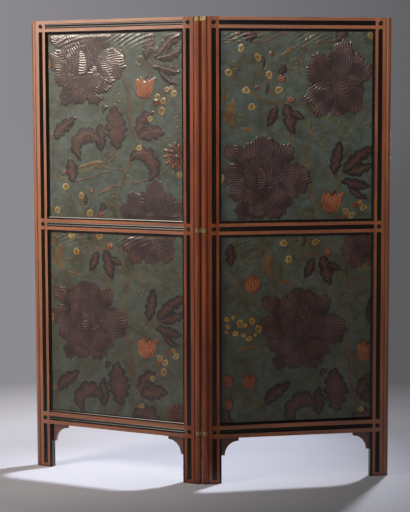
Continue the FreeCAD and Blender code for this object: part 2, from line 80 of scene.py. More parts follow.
class LeatherSettings(bpy.types.PropertyGroup):
    """Sizes and paints of the embossed leather panels."""

    cell: length("Cell", "Width of one cell of the leather's mesh", 2.15)
    thickness: length("Thickness", "Thickness of the leather", 1.6)
    petal_rise: length("Petal rise", "How far the petals are pressed up", 0.55)
    leaf_rise: length("Leaf rise", "How far the leaves are pressed up", 0.6)
    rib_rise: length("Rib rise", "Height of the tooled ribs", 1.05)
    rib_pitch: length("Rib pitch", "Distance between the tooled ribs", 9.4)
    cockle: length("Cockle", "Half the height of the slack waves in the old leather", 0.8)
    hatch_pitch: length("Hatch pitch", "Distance between the fine lines pressed into the ground", 4.0)
    patch: length("Patch", "Size of the paler and darker patches of the paint", 40.0)
    stain: length("Stain", "Size of the stains in the varnish", 75.0)
    pit: length("Pit", "Distance between the pits of the grain, coarser than real so that they show", 2.5)
    ground: colour("Ground", "Grey green paint of the ground", "#4c5853")
    grime: colour("Grime", "Brown tint of the aged varnish, where it has gathered", "#d3bb92")
    yellowed: colour("Yellowed varnish", "Tint of the varnish on the lower panels", "#fff3e4")
    # The blossoms' ribs are painted lighter and their hollows darker: a painted highlight and shade on the
    # tooled relief, with worn paint.
    petal_dark: colour("Petal dark", "Dark brown in the hollows of the blossoms", "#2c1f22")
    petal_worn_and_highlit: colour("Petal light", "Worn mauve brown on the ribs of the blossoms", "#5d4646")
    leaf_dark: colour("Leaf dark", "Blue black along the edges of the leaves", "#15171c")
    leaf_light: colour("Leaf light", "Red brown of the leaves", "#553930")
    ochre: colour("Ochre", "Ochre brown of the small leaves", "#74502c")
    stem: colour("Stem", "Olive brown of the stems", "#61563c")
    red_stem: colour("Red stem", "Red brown of the woody stems", "#5e4638")
    tendril: colour("Tendril", "Olive gold of the tendrils", "#62623f")
    tulip_dark: colour("Tulip dark", "Red brown between the tulips' streaks", "#552e20")
    tulip_light: colour("Tulip light", "Orange of the tulips", "#a9683f")
    rosette: colour("Rosette", "Cream yellow of the rosettes", "#a8965f")
    spot: colour("Spot", "Strong yellow of the crowded flowers", "#ab9048")
    rosette_eye: colour("Rosette eye", "Brown ring in the rosettes", "#5c4426")


class WoodSettings(bpy.types.PropertyGroup):
    """Colours and grain of the frame, the black mouldings and the strainers."""

    mahogany_dark: colour("Mahogany dark", "Late wood and pores of the frame", "#572a12")
    mahogany_mid: colour("Mahogany", "Polished red brown of the frame", "#8e4d20")
    mahogany_light: colour("Mahogany light", "Worn and faded streaks of the frame", "#b56f38")
    # The wax colour is old wax and painted shade: the occlusion mask darkens every groove and recess with it.
    wax: colour("Wax", "Old wax and dirt in the grooves of the frame", "#5a1e05")
    groove_shade_reach: length("Wax reach", "Width of the grooves in which wax has gathered", 12.0)
    black: colour("Black", "Black stain on the mouldings", "#100f0f")
    black_worn: colour("Black worn", "Brown wood where the stain has rubbed through", "#4d3224")
    pine: colour("Pine", "Bare pine of the strainers", "#c9a06b")
    pine_dark: colour("Pine dark", "Late wood of the pine", "#9a6b3c")
    streak_width: length("Streak width", "Width of a streak in the mahogany", 1.4)
    streak_length: length("Streak length", "Length of a streak in the mahogany", 90.0)
    figure_width: length("Figure width", "Width of the broad bands in the mahogany", 22.0)
    edge_wear: length("Edge wear", "How far wear reaches from an edge", 1.6)


class BrassSettings(bpy.types.PropertyGroup):
    """Colours of the hinge links and pins."""

    brass: colour("Brass", "Rubbed brass", "#c9b283")
    tarnish: colour("Tarnish", "Brown tarnish on the brass", "#6b5434")
    spot: length("Spot", "Size of a tarnished spot", 4.0)
    mark_length: length("Mark length", "Length of a file mark", 10.0)
    mark_width: length("Mark width", "Width of a file mark", 0.5)


class LiningSettings(bpy.types.PropertyGroup):
    """Cloth on the backs of the panels."""

    cell: length("Cell", "Width of one cell of the cloth's mesh", 5.0)
    thickness: length("Thickness", "Thickness of the cloth", 0.8)
    slack: length("Slack", "Height of the slack waves in the cloth", 0.3)
    cloth: colour("Cloth", "Dull brown green of the cloth", "#5f5a45")
    cloth_dark: colour("Cloth dark", "Shaded threads of the cloth", "#464232")
    thread: length("Thread", "Distance between threads, coarser than real so that the weave shows", 2.0)
    dye: length("Dye", "Size of the uneven patches of the dye", 60.0)


class StageSettings(bpy.types.PropertyGroup):
    """Floor, surroundings, lamps and camera."""

    # The floor's grey is painted paler on the left and darker on the right: a painted falloff of the lamps'
    # light.
    floor_left_lit: colour("Floor left", "Pale cool grey of the floor on the left", "#cfd1d9")
    floor_right_shaded: colour("Floor right", "Cool grey of the floor on the right", "#9c9da4")
    wall_left: colour("Surroundings left", "Grey behind the screen on the left", "#8d8b90")
    wall_right: colour("Surroundings right", "Grey behind the screen on the right", "#5b5a5d")
    camera_x: length("Camera across", "Place of the camera to the right of the hinge", 802.3)
    camera_y: length("Camera distance", "Distance of the camera in front of the part's origin", 5925.0)
    camera_z: length("Camera height", "Height of the camera", 1449.2)
    yaw: bpy.props.FloatProperty(name="Yaw", description="Turn of the camera to the right",
                                 subtype="ANGLE", default=math.radians(-7.73))
    pitch: bpy.props.FloatProperty(name="Pitch", description="How far the camera looks down",
                                   subtype="ANGLE", default=math.radians(5.53))
    roll: bpy.props.FloatProperty(name="Roll", description="How far the camera leans",
                                  subtype="ANGLE", default=math.radians(0.17))
    focal: bpy.props.FloatProperty(name="Focal length", description="Lens of the camera on a 36 mm sensor",
                                   subtype="DISTANCE_CAMERA", default=109.0)


# Nodes and materials

# Sockets of a Mix node that mixes colours: its two inputs and its output.
MIX_A, MIX_B, MIXED = 6, 7, 2
# A wave texture of scale one turns through this angle in each metre.
WAVE_TURN = 20


def add_node(tree, kind, inputs=None, **settings):
    """Adds a node with its settings, its inputs filled with values or with other nodes' sockets."""
    made = tree.nodes.new(kind)
    for name, value in settings.items():
        setattr(made, name, value)
    for name, value in (inputs or {}).items():
        if isinstance(value, bpy.types.NodeSocket):
            tree.links.new(value, made.inputs[name])
        else:
            made.inputs[name].default_value = value
    return made


def new_material(name):
    """A material with its node tree and its principled shader."""
    material = bpy.data.materials.new(name)
    material.use_nodes = True
    return material, material.node_tree, material.node_tree.nodes["Principled BSDF"]


def rgba(value, stain=(1.0, 1.0, 1.0)):
    """A colour for a node's socket, darkened by a share of each channel, which paints shade on the hinge
    stiles and brackets.
    """
    return (*(part * share for part, share in zip(value, stain)), 1.0)


def edge_mask(tree, reach):
    """One along the edges of a piece, fading to nothing within reach of them."""
    rounded = add_node(tree, "ShaderNodeBevel", {"Radius": reach}, samples=4)
    surface = add_node(tree, "ShaderNodeNewGeometry")
    same = add_node(tree, "ShaderNodeVectorMath", {
        0: rounded.outputs["Normal"], 1: surface.outputs["Normal"]}, operation="DOT_PRODUCT")
    return add_node(tree, "ShaderNodeMapRange", {
        "Value": same.outputs["Value"], "From Min": 0.995, "From Max": 0.86}).outputs["Result"]


def groove_shade_mask(tree, reach):
    """One down in grooves narrower than reach, fading to nothing on open faces: found by ambient occlusion,
    where shade is painted.
    """
    openness = add_node(tree, "ShaderNodeAmbientOcclusion", {"Distance": reach}, samples=6)
    return add_node(tree, "ShaderNodeMapRange", {
        "Value": openness.outputs["AO"], "From Min": 0.98, "From Max": 0.76}).outputs["Result"]


def turned_place(tree, turn):
    """Object coordinates, turned with the leaf."""
    place = add_node(tree, "ShaderNodeTexCoord")
    return add_node(tree, "ShaderNodeMapping", {
        "Vector": place.outputs["Object"], "Rotation": (0, 0, -turn)}).outputs["Vector"]


def grain_place(tree, turn, along, across, along_x):
    """Object coordinates, turned with the leaf and stretched so that one unit is one streak."""
    stretch = (1 / along, 1 / across, 1 / across) if along_x else (1 / across, 1 / across, 1 / along)
    return add_node(tree, "ShaderNodeMapping", {
        "Vector": turned_place(tree, turn), "Scale": stretch}).outputs["Vector"]


def mahogany(name, wood, turn, along_x, stain=(1.0, 1.0, 1.0), shine=1.0):
    """French-polished mahogany, planed along its grain: red brown with fine long streaks, darker broad
    bands, small dark pores, paler rubbed edges, old wax and painted shade dark in the grooves, and a soft
    gloss. The stain is the share of red, green and blue that it leaves, which paints shade on the hinge
    stiles and brackets, the shine that of the gloss."""
    material, tree, shader = new_material(name)
    streaks = add_node(tree, "ShaderNodeTexNoise", {
        "Vector": grain_place(tree, turn, wood.streak_length, wood.streak_width, along_x),
        "Scale": 1.0, "Detail": 4.0, "Roughness": 0.6})
    bands = add_node(tree, "ShaderNodeTexNoise", {
        "Vector": grain_place(tree, turn, 2.5 * wood.streak_length, wood.figure_width, along_x),
        "Scale": 1.0, "Detail": 2.0, "Distortion": 0.6})
    pores = add_node(tree, "ShaderNodeTexNoise", {
        "Vector": grain_place(tree, turn, 0.1 * wood.streak_length, 0.4 * wood.streak_width, along_x),
        "Scale": 1.0, "Detail": 1.0})
    tone = add_node(tree, "ShaderNodeMath", {
        0: streaks.outputs["Fac"], 1: bands.outputs["Fac"]}, operation="ADD")
    share = add_node(tree, "ShaderNodeMapRange", {
        "Value": tone.outputs["Value"], "From Min": 0.55, "From Max": 1.45})
    ramp = add_node(tree, "ShaderNodeValToRGB", {"Fac": share.outputs["Result"]})
    # The stain shares paint shade: darker and redder on the hinge stiles, darker on the brackets.
    ramp.color_ramp.elements[0].color = rgba(wood.mahogany_dark, stain)
    ramp.color_ramp.elements[1].color = rgba(wood.mahogany_light, stain)
    ramp.color_ramp.elements.new(0.5).color = rgba(wood.mahogany_mid, stain)
    pore = add_node(tree, "ShaderNodeMapRange", {
        "Value": pores.outputs["Fac"], "From Min": 0.62, "From Max": 0.7, "To Max": 0.5})
    pored = add_node(tree, "ShaderNodeMix", {
        "Factor": pore.outputs["Result"], MIX_A: ramp.outputs["Color"], MIX_B: rgba(wood.mahogany_dark)},
        data_type="RGBA")
    rubbed = add_node(tree, "ShaderNodeMath", {
        0: edge_mask(tree, wood.edge_wear), 1: bands.outputs["Fac"]}, operation="MULTIPLY")
    worn = add_node(tree, "ShaderNodeMix", {
        "Factor": rubbed.outputs["Value"], MIX_A: pored.outputs[MIXED],
        MIX_B: rgba(wood.mahogany_light, stain)}, data_type="RGBA")
    # Painted shade and old wax: the grooves are darkened to the wax colour by ambient occlusion.
    waxed = add_node(tree, "ShaderNodeMix", {
        "Factor": groove_shade_mask(tree, wood.groove_shade_reach), MIX_A: worn.outputs[MIXED], MIX_B: rgba(wood.wax)},
        data_type="RGBA")
    tree.links.new(waxed.outputs[MIXED], shader.inputs["Base Color"])
    polish = add_node(tree, "ShaderNodeMapRange", {
        "Value": streaks.outputs["Fac"], "To Min": 0.32, "To Max": 0.42})
    tree.links.new(polish.outputs["Result"], shader.inputs["Roughness"])
    bump = add_node(tree, "ShaderNodeBump", {
        "Height": pored.outputs[MIXED], "Strength": 0.12, "Distance": 0.4 * MM})
    tree.links.new(bump.outputs["Normal"], shader.inputs["Normal"])
    shader.inputs["Specular IOR Level"].default_value = shine
    shader.inputs["Coat Weight"].default_value = shine
    shader.inputs["Coat Roughness"].default_value = 0.38
    return material


def ebonised(name, wood, turn, along_x):
    """Pear wood stained black and waxed: near black with a faint brown grain, brown where the stain has
    rubbed off the edges, and a soft shine."""
    material, tree, shader = new_material(name)
    grain = add_node(tree, "ShaderNodeTexNoise", {
        "Vector": grain_place(tree, turn, wood.streak_length, wood.streak_width, along_x),
        "Scale": 1.0, "Detail": 3.0})
    rubs = add_node(tree, "ShaderNodeTexNoise", {
        "Vector": grain_place(tree, turn, 0.3 * wood.streak_length, wood.figure_width, along_x),
        "Scale": 1.0, "Detail": 3.0})
    spread = add_node(tree, "ShaderNodeMapRange", {
        "Value": rubs.outputs["Fac"], "From Min": 0.45, "From Max": 0.7, "To Max": 0.6})
    rubbed = add_node(tree, "ShaderNodeMath", {
        0: edge_mask(tree, 0.5 * wood.edge_wear), 1: spread.outputs["Result"]}, operation="MULTIPLY")
    faint = add_node(tree, "ShaderNodeMapRange", {
        "Value": grain.outputs["Fac"], "From Min": 0.4, "From Max": 0.8, "To Max": 0.18})
    brown = add_node(tree, "ShaderNodeMath", {
        0: rubbed.outputs["Value"], 1: faint.outputs["Result"]}, operation="ADD", use_clamp=True)
    stain = add_node(tree, "ShaderNodeMix", {
        "Factor": brown.outputs["Value"], MIX_A: rgba(wood.black), MIX_B: rgba(wood.black_worn)},
        data_type="RGBA")
    tree.links.new(stain.outputs[MIXED], shader.inputs["Base Color"])
    wax = add_node(tree, "ShaderNodeMapRange", {
        "Value": rubs.outputs["Fac"], "To Min": 0.12, "To Max": 0.24})
    tree.links.new(wax.outputs["Result"], shader.inputs["Roughness"])
    bump = add_node(tree, "ShaderNodeBump", {
        "Height": grain.outputs["Fac"], "Strength": 0.1, "Distance": 0.2 * MM})
    tree.links.new(bump.outputs["Normal"], shader.inputs["Normal"])
    shader.inputs["Specular IOR Level"].default_value = 0.35
    shader.inputs["Coat Weight"].default_value = 0.12
    shader.inputs["Coat Roughness"].default_value = 0.08
    return material


def pine_wood(name, wood):
    """Planed pine, bare: pale yellow with darker late-wood bands and a dry matt surface."""
    material, tree, shader = new_material(name)
    bands = add_node(tree, "ShaderNodeTexNoise", {
        "Vector": grain_place(tree, 0.0, 3 * wood.streak_length, 0.4 * wood.figure_width, False),
        "Scale": 1.0, "Detail": 2.0, "Distortion": 0.4})
    tint = add_node(tree, "ShaderNodeMix", {
        "Factor": bands.outputs["Fac"], MIX_A: rgba(wood.pine), MIX_B: rgba(wood.pine_dark)},
        data_type="RGBA")
    tree.links.new(tint.outputs[MIXED], shader.inputs["Base Color"])
    bump = add_node(tree, "ShaderNodeBump", {
        "Height": bands.outputs["Fac"], "Strength": 0.2, "Distance": 0.3 * MM})
    tree.links.new(bump.outputs["Normal"], shader.inputs["Normal"])
    shader.inputs["Roughness"].default_value = 0.7
    return material


def aged_brass(name, brass):
    """Cast and filed brass, long handled: yellow where it is rubbed, brown with tarnish in spots, with
    fine file marks."""
    material, tree, shader = new_material(name)
    place = add_node(tree, "ShaderNodeTexCoord")
    spots = add_node(tree, "ShaderNodeTexNoise", {
        "Vector": place.outputs["Object"], "Scale": 1 / brass.spot, "Detail": 4.0, "Roughness": 0.65})
    marks = add_node(tree, "ShaderNodeTexNoise", {
        "Vector": grain_place(tree, 0.0, brass.mark_length, brass.mark_width, True),
        "Scale": 1.0, "Detail": 1.0})
    share = add_node(tree, "ShaderNodeMapRange", {
        "Value": spots.outputs["Fac"], "From Min": 0.5, "From Max": 0.7, "To Max": 0.8})
    tint = add_node(tree, "ShaderNodeMix", {
        "Factor": share.outputs["Result"], MIX_A: rgba(brass.brass), MIX_B: rgba(brass.tarnish)},
        data_type="RGBA")
    tree.links.new(tint.outputs[MIXED], shader.inputs["Base Color"])
    dull = add_node(tree, "ShaderNodeMapRange", {
        "Value": spots.outputs["Fac"], "To Min": 0.22, "To Max": 0.5})
    tree.links.new(dull.outputs["Result"], shader.inputs["Roughness"])
    bump = add_node(tree, "ShaderNodeBump", {
        "Height": marks.outputs["Fac"], "Strength": 0.15, "Distance": 0.1 * MM})
    tree.links.new(bump.outputs["Normal"], shader.inputs["Normal"])
    shader.inputs["Metallic"].default_value = 1.0
    return material


def painted_leather(name, leather, turn):
    """Calf embossed, painted and varnished: the paint follows the pressed motifs, fine lines are pressed
    into it all over, the grain shows as small pits and the old varnish shines unevenly, yellower below
    the middle rail."""
    material, tree, shader = new_material(name)
    turned = turned_place(tree, turn)
    paint = add_node(tree, "ShaderNodeAttribute", attribute_name="paint")
    patches = add_node(tree, "ShaderNodeTexNoise", {
        "Vector": turned, "Scale": 1 / leather.patch, "Detail": 5.0, "Roughness": 0.8})
    shade = add_node(tree, "ShaderNodeMapRange", {
        "Value": patches.outputs["Fac"], "From Min": 0.25, "From Max": 0.75, "To Min": 0.58, "To Max": 1.34})
    tinted = add_node(tree, "ShaderNodeVectorMath", {
        0: paint.outputs["Color"], "Scale": shade.outputs["Result"]}, operation="SCALE")
    stains = add_node(tree, "ShaderNodeTexNoise", {
        "Vector": turned, "Scale": 1 / leather.stain, "Detail": 6.0, "Roughness": 0.7, "Distortion": 0.8})
    gathered = add_node(tree, "ShaderNodeMapRange", {
        "Value": stains.outputs["Fac"], "From Min": 0.4, "From Max": 0.65})
    aged = add_node(tree, "ShaderNodeMix", {
        "Factor": gathered.outputs["Result"], MIX_A: tinted.outputs["Vector"], MIX_B: rgba(leather.grime)},
        data_type="RGBA", blend_type="MULTIPLY")
    parts = add_node(tree, "ShaderNodeSeparateXYZ", {"Vector": turned})
    rail_low, rail_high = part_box("left_middle_rail")
    lower = add_node(tree, "ShaderNodeMapRange", {
        "Value": parts.outputs["Z"], "From Min": rail_high.z, "From Max": rail_low.z})
    yellow = add_node(tree, "ShaderNodeMix", {
        "Factor": lower.outputs["Result"], MIX_A: aged.outputs[MIXED], MIX_B: rgba(leather.yellowed)},
        data_type="RGBA", blend_type="MULTIPLY")
    tree.links.new(yellow.outputs[MIXED], shader.inputs["Base Color"])
    levels, uprights = (add_node(tree, "ShaderNodeTexWave", {
        "Vector": turned, "Scale": math.tau / (WAVE_TURN * leather.hatch_pitch), "Distortion": 1.5,
        "Detail": 1.0, "Detail Scale": 2.0}, bands_direction=direction) for direction in "ZX")
    grain = add_node(tree, "ShaderNodeTexVoronoi", {"Vector": turned, "Scale": 1 / leather.pit})
    hatch = add_node(tree, "ShaderNodeMath", {
        0: levels.outputs["Fac"], 1: uprights.outputs["Fac"]}, operation="MAXIMUM")
    fine = add_node(tree, "ShaderNodeMath", {
        0: hatch.outputs["Value"], 1: grain.outputs["Distance"]}, operation="ADD")
    bump = add_node(tree, "ShaderNodeBump", {
        "Height": fine.outputs["Value"], "Strength": 0.35, "Distance": 0.5 * MM})
    tree.links.new(bump.outputs["Normal"], shader.inputs["Normal"])
    gloss = add_node(tree, "ShaderNodeMapRange", {
        "Value": patches.outputs["Fac"], "From Min": 0.3, "From Max": 0.7, "To Min": 0.28, "To Max": 0.45})
    tree.links.new(gloss.outputs["Result"], shader.inputs["Roughness"])
    shader.inputs["Coat Weight"].default_value = 0.85
    shader.inputs["Coat Roughness"].default_value = 0.16
    return material


def lining_cloth(name, lining, turn):
    """Plain-woven cotton: matt, with a visible over-and-under weave and slightly uneven dye."""
    material, tree, shader = new_material(name)
    turned = turned_place(tree, turn)
    weft, warp = (add_node(tree, "ShaderNodeTexWave", {
        "Vector": turned, "Scale": math.tau / (WAVE_TURN * lining.thread)}, bands_direction=direction)
        for direction in "ZX")
    weave = add_node(tree, "ShaderNodeMath", {
        0: weft.outputs["Fac"], 1: warp.outputs["Fac"]}, operation="MULTIPLY")
    dye = add_node(tree, "ShaderNodeTexNoise", {"Vector": turned, "Scale": 1 / lining.dye, "Detail": 4.0})
    mixed = add_node(tree, "ShaderNodeMath", {
        0: weave.outputs["Value"], 1: dye.outputs["Fac"]}, operation="MULTIPLY")
    tint = add_node(tree, "ShaderNodeMix", {
        "Factor": mixed.outputs["Value"], MIX_A: rgba(lining.cloth_dark), MIX_B: rgba(lining.cloth)},
        data_type="RGBA")
    tree.links.new(tint.outputs[MIXED], shader.inputs["Base Color"])
    bump = add_node(tree, "ShaderNodeBump", {
        "Height": weave.outputs["Value"], "Strength": 0.5, "Distance": 0.4 * MM})
    tree.links.new(bump.outputs["Normal"], shader.inputs["Normal"])
    shader.inputs["Roughness"].default_value = 0.85
    shader.inputs["Sheen Weight"].default_value = 0.15
    return material


# Motifs of the leather, in millimetres from the middle of the large blossom

REPEAT = 969             # the design repeats upwards after this much
SOFT_EDGE = 1.8          # width over which a motif's edge rises from the ground
DARK_EDGE = 20.0         # width of the dark paint along the edge of a leaf
WANDER = 3.0             # how far the hand-cut outlines stray from their curves
RIB_FADE = 30            # ribs fade out nearer than this to a petal's foot
VEIN_PITCH = 11.0        # distance between a leaf's veins
TOOTH_PITCH = 33.0       # distance between its teeth
TOOTH_DEPTH = 0.42       # share of its width that they take
STREAK_PITCH = 9.0       # distance between the streaks of a pointed petal
PETAL_STEP = 0.03        # each petal lies this much over the one under it
ROSETTE_EYE = 0.3        # share of the way to a rosette's edge at which its dark ring lies
THIN_STEM, RED_STEM, TENDRIL_WIDTH = 4.2, 6.0, 5.6      # widths of the single lines
TWIN_STEM, TWIN_SPREAD = 4.4, 4.4    # width of each twin line, and how far it lies off the middle
TENDRIL_TURNS = 1.05     # how many times a tendril winds round
GLAZE = 0.5              # share of its brightness that paint loses in a full hollow and gains on a full rise
FULL_HOLLOW = 0.25       # depth of a full hollow below the points round it, or height of a full rise
FOLD_RISE = 0.55         # half the height of the folds along the top edge
FOLD_REACH = 55          # how far down they reach
FOLD_SLANT = 0.4         # how steeply they rise to the right

# Where the middle of the large blossom falls on each panel, right of and above its lower left corner.
BLOSSOM_PLACES = {
    ("left", "upper"): (170, 618),
    ("left", "lower"): (173, 391),
    ("right", "upper"): (172, 179),
    ("right", "lower"): (319, 375),
}

# Petals of the large blossom, the undermost first: foot across and up, direction in degrees, length, width.
BLOSSOM_PETALS = [
    (-75, -40, 8, 160, 130), (-60, 45, 153, 118, 66), (-40, -30, 211, 118, 76), (-30, -10, 180, 145, 100),
    (-20, -50, 236, 158, 80), (20, -45, 318, 118, 70), (-15, -45, 257, 135, 92), (10, -45, 288, 140, 100),
    (-5, -60, 91, 195, 190), (20, -5, 55, 132, 88), (28, -22, 354, 148, 134), (-20, -40, 232, 100, 80),
    (25, -50, 300, 105, 78), (-29, -90, 90, 152, 124),
]
ROLLED_PETAL = (-16, -68, 92, 100, 40)

# Lobes of the round blossom, the undermost first: direction, length and width.
ROUND_LOBES = [
    (104, 126, 80), (180, 112, 84), (-18, 108, 84), (-93, 130, 84), (52, 146, 82), (-52, 136, 86),
    (156, 145, 80), (-128, 152, 84), (25, 154, 84), (-154, 147, 76), (131, 149, 82), (80, 171, 92),
]
ROUND_PLACE = (284, 338)
ROUND_MIDDLE = (-46, -8, 8, 92, 86)      # its smooth middle, as a petal of the large blossom

# Leaves: foot across and up, direction, length, width, and how far the leaf curls to its left.
LEAVES = [
    (141, -352, 97, 178, 100, -6), (98, -190, 160, 42, 24, 130), (64, -362, 94, 120, 56, -12),
    (58, -335, 108, 200, 74, 215), (-147, -318, 64, 138, 56, -48), (229, -300, 84, 125, 58, -60),
    (232, -304, 24, 118, 74, -30), (196, -398, 62, 205, 72, -215), (-60, -482, 98, 96, 64, 14),
    (-13, 395, 72, 48, 22, 30), (58, 372, 60, 48, 34, 20), (2, 300, 80, 44, 18, 0),
    (46, 256, 236, 92, 44, 22), (76, 258, 284, 116, 62, 8), (92, 226, 344, 66, 36, -10),
    (272, -12, 88, 132, 58, -14), (304, 0, 46, 168, 56, -22), (310, -2, 6, 128, 48, 12),
    (294, -38, 356, 122, 50, -12), (330, -58, 318, 90, 32, 20), (-284, 226, 98, 92, 42, -20),
    (390, -440, 70, 60, 26, 40), (-300, -430, 84, 120, 54, 20),
]
OCHRE_LEAVES = [
    (-166, 186, 58, 112, 42, 14), (-112, 166, 128, 92, 26, -20), (-262, -92, 4, 74, 20, 10),
    (-92, 172, 350, 48, 22, -20), (330, 236, 150, 66, 44, 16), (330, 240, 20, 60, 38, -16),
    (-40, -424, 24, 120, 20, -30), (-162, 262, 88, 60, 18, 10), (56, -524, 30, 72, 16, -20),
    (-196, -312, 10, 60, 18, 20),
]

# Tulips: middle across and up, direction and height.
TULIPS = [(255, -109, 88, 90)]
# Their petals, the undermost first: lean in degrees, share of the height, and lift.
TULIP_PETALS = [(21, 0.92, 0.3), (-33, 1.06, 0.3), (11, 0.95, 0.6), (-15, 0.86, 0.6), (-2, 0.74, 0.9)]

# Orange buds: middle across and up, direction and length.
BUDS = [
    (-196, 154, 98, 86), (-208, -223, 92, 66), (-295, -216, 86, 68), (-293, -308, 90, 54),
    (101, 275, 90, 30), (60, 358, 20, 38), (-107, 526, 60, 24), (22, 450, 10, 24), (-30, 322, 70, 22),
    (306, -166, 200, 32), (353, -126, 30, 34),
]

# Rosettes: middle across and up, and width.
ROSETTES = [
    (-96, 472, 33), (-29, 434, 31), (-141, 377, 34), (11, 369, 33), (-75, 310, 33), (48, 314, 33),
    (-58, 247, 33), (315, -148, 28), (339, -168, 32), (336, -202, 33), (384, -140, 30), (285, -234, 30),
    (372, -118, 24), (233, -346, 29), (410, -450, 30), (-250, 8, 32), (-174, -20, 36),
]

# Small yellow flowers of the crowded head left of the blossom: middle across and up, and width.
SPOTS = [
    (-298, 25, 24), (-230, -2, 20), (-198, 11, 30), (-297, -4, 22), (-266, -30, 28), (-234, -36, 22),
    (-213, -50, 26), (-305, -28, 20), (-276, 34, 18), (-190, -40, 18),
]

# Carnations: middle across and up, and how far the petals reach.
CARNATIONS = [(393, -369, 56)]
# Their rings of petals, the undermost first: count, share of the reach, and lift.
CARNATION_RINGS = [(11, 1.0, 0.0), (8, 0.74, 0.4), (5, 0.5, 0.8)]

# Stems: points that each one passes, as twin lines or as one line.
TWIN_STEMS = [
    [(228, -310), (205, -250), (200, -171), (190, -100), (172, -48), (174, 5), (156, 80), (166, 133),
     (205, 172), (240, 178), (262, 152), (246, 134)],
    [(104, 60), (98, 100), (84, 150), (92, 190)],
    [(-274, 196), (-256, 135), (-238, 97), (-174, 71), (-120, 60)],
    [(264, -83), (288, -46), (300, -10), (360, 40)],
    [(228, -310), (196, -400), (170, -440), (150, -500), (120, -620)],
    [(141, -352), (110, -392), (40, -424), (-30, -440), (-66, -476), (-127, -464), (-190, -482)],
]
RED_STEMS = [
    [(212, -300), (190, -240), (186, -171), (176, -100), (160, -52)],
    [(255, -152), (250, -200), (236, -290)], [(-158, -310), (-152, -380), (-147, -445), (-120, -470)],
    [(-45, -480), (0, -470), (36, -452), (100, -440)], [(56, -524), (90, -500), (117, -494), (150, -500)],
    [(175, 120), (180, 200), (168, 260), (120, 262), (76, 258)],
    [(393, -390), (350, -430), (290, -470), (196, -480)], [(64, -362), (80, -400), (40, -424)],
]
THIN_STEMS = [
    [(76, 258), (0, 330), (-29, 434)], [(76, 258), (-20, 340), (-96, 472)],
    [(76, 258), (-40, 290), (-141, 377)], [(76, 258), (30, 300), (11, 369)],
    [(76, 258), (74, 310), (60, 358)], [(76, 258), (0, 266), (-75, 310)],
    [(76, 258), (10, 240), (-58, 247)], [(-196, 108), (-216, 96), (-238, 97)],
    [(-208, -246), (-204, -300), (-147, -330)], [(-295, -246), (-290, -280), (-290, -330), (-200, -350)],
    [(285, -234), (310, -215), (339, -168)], [(229, -300), (262, -262), (285, -234)],
    [(384, -140), (362, -175), (336, -202)], [(-174, 71), (-206, 40), (-213, -50)],
    [(-174, 71), (-250, 40), (-298, 25)], [(150, -497), (178, -452), (170, -424), (194, -376)],
    [(40, -424), (120, -428), (178, -424)], [(272, -12), (288, -30), (294, -38)],
    [(-112, 166), (-90, 120), (-60, 90)],
]

# Tendrils: middle across and up, radius, and the direction in which the curl opens.
TENDRILS = [
    (228, 106, 24, 250), (233, 209, 16, 30), (316, 165, 40, 120), (158, 180, 17, 300),
    (240, -10, 20, 200), (396, 184, 22, 160), (-96, 208, 22, 330), (264, 200, 18, 60),
    (150, -154, 18, 90), (-214, 245, 26, 200), (-202, -298, 26, 20), (-240, -130, 24, 160),
    (116, -560, 24, 40), (330, -290, 24, 140), (-30, 540, 24, 120), (180, 500, 26, 300),
    (-260, 300, 22, 40), (160, 40, 14, 200), (-162, 300, 20, 250), (196, 250, 18, 150),
    (-20, -560, 26, 300), (400, -250, 22, 80), (-120, -560, 24, 200),
]


def smooth(x):
    """Rises gently from 0 at 0 to 1 at 1."""
    x = np.clip(x, 0, 1)
    return x * x * (3 - 2 * x)


def blend(first, second, share):
    """Colours between two, at each point."""
    share = np.clip(share, 0, 1)[:, None]
    return np.asarray(first) * (1 - share) + np.asarray(second) * share


class Embossing:
    """The relief in millimetres and the paint of one leather, at each point of its grid."""

    def __init__(self, across, up, settings):
        long_waves = np.sin(up / 21 + 1.7 * np.sin(across / 33))
        self.across = across + WANDER * (long_waves + 0.4 * np.sin(up / 7.3 + across / 11))
        long_waves = np.sin(across / 24 + 1.7 * np.sin(up / 37))
        self.up = up + WANDER * (long_waves + 0.4 * np.sin(across / 8.1 - up / 13))
        self.settings = settings
        self.rise = np.zeros_like(across)
        self.paint = np.tile(np.array(settings.ground), (len(across), 1))

    def near(self, x, y, reach):
        """The points within reach of a place."""
        return np.flatnonzero((abs(self.across - x) < reach) & (abs(self.up - y) < reach))

    def local(self, points, x, y, turn):
        """How far points lie along a direction in degrees from a place, and to its left."""
        cos, sin = math.cos(math.radians(turn)), math.sin(math.radians(turn))
        right, above = self.across[points] - x, self.up[points] - y
        return right * cos + above * sin, above * cos - right * sin

    def lay(self, points, inside, rise, paint):
        """Lays a motif over what is there, wherever a point lies inside its edge."""
        cover = smooth(inside / SOFT_EDGE)
        self.rise[points] += cover * (rise - self.rise[points])
        self.paint[points] += cover[:, None] * (paint - self.paint[points])


def crests(phase):
    """Narrow crests with wide hollows between them, one to each whole number."""
    return (0.5 + 0.5 * np.cos(math.tau * phase)) ** 1.6


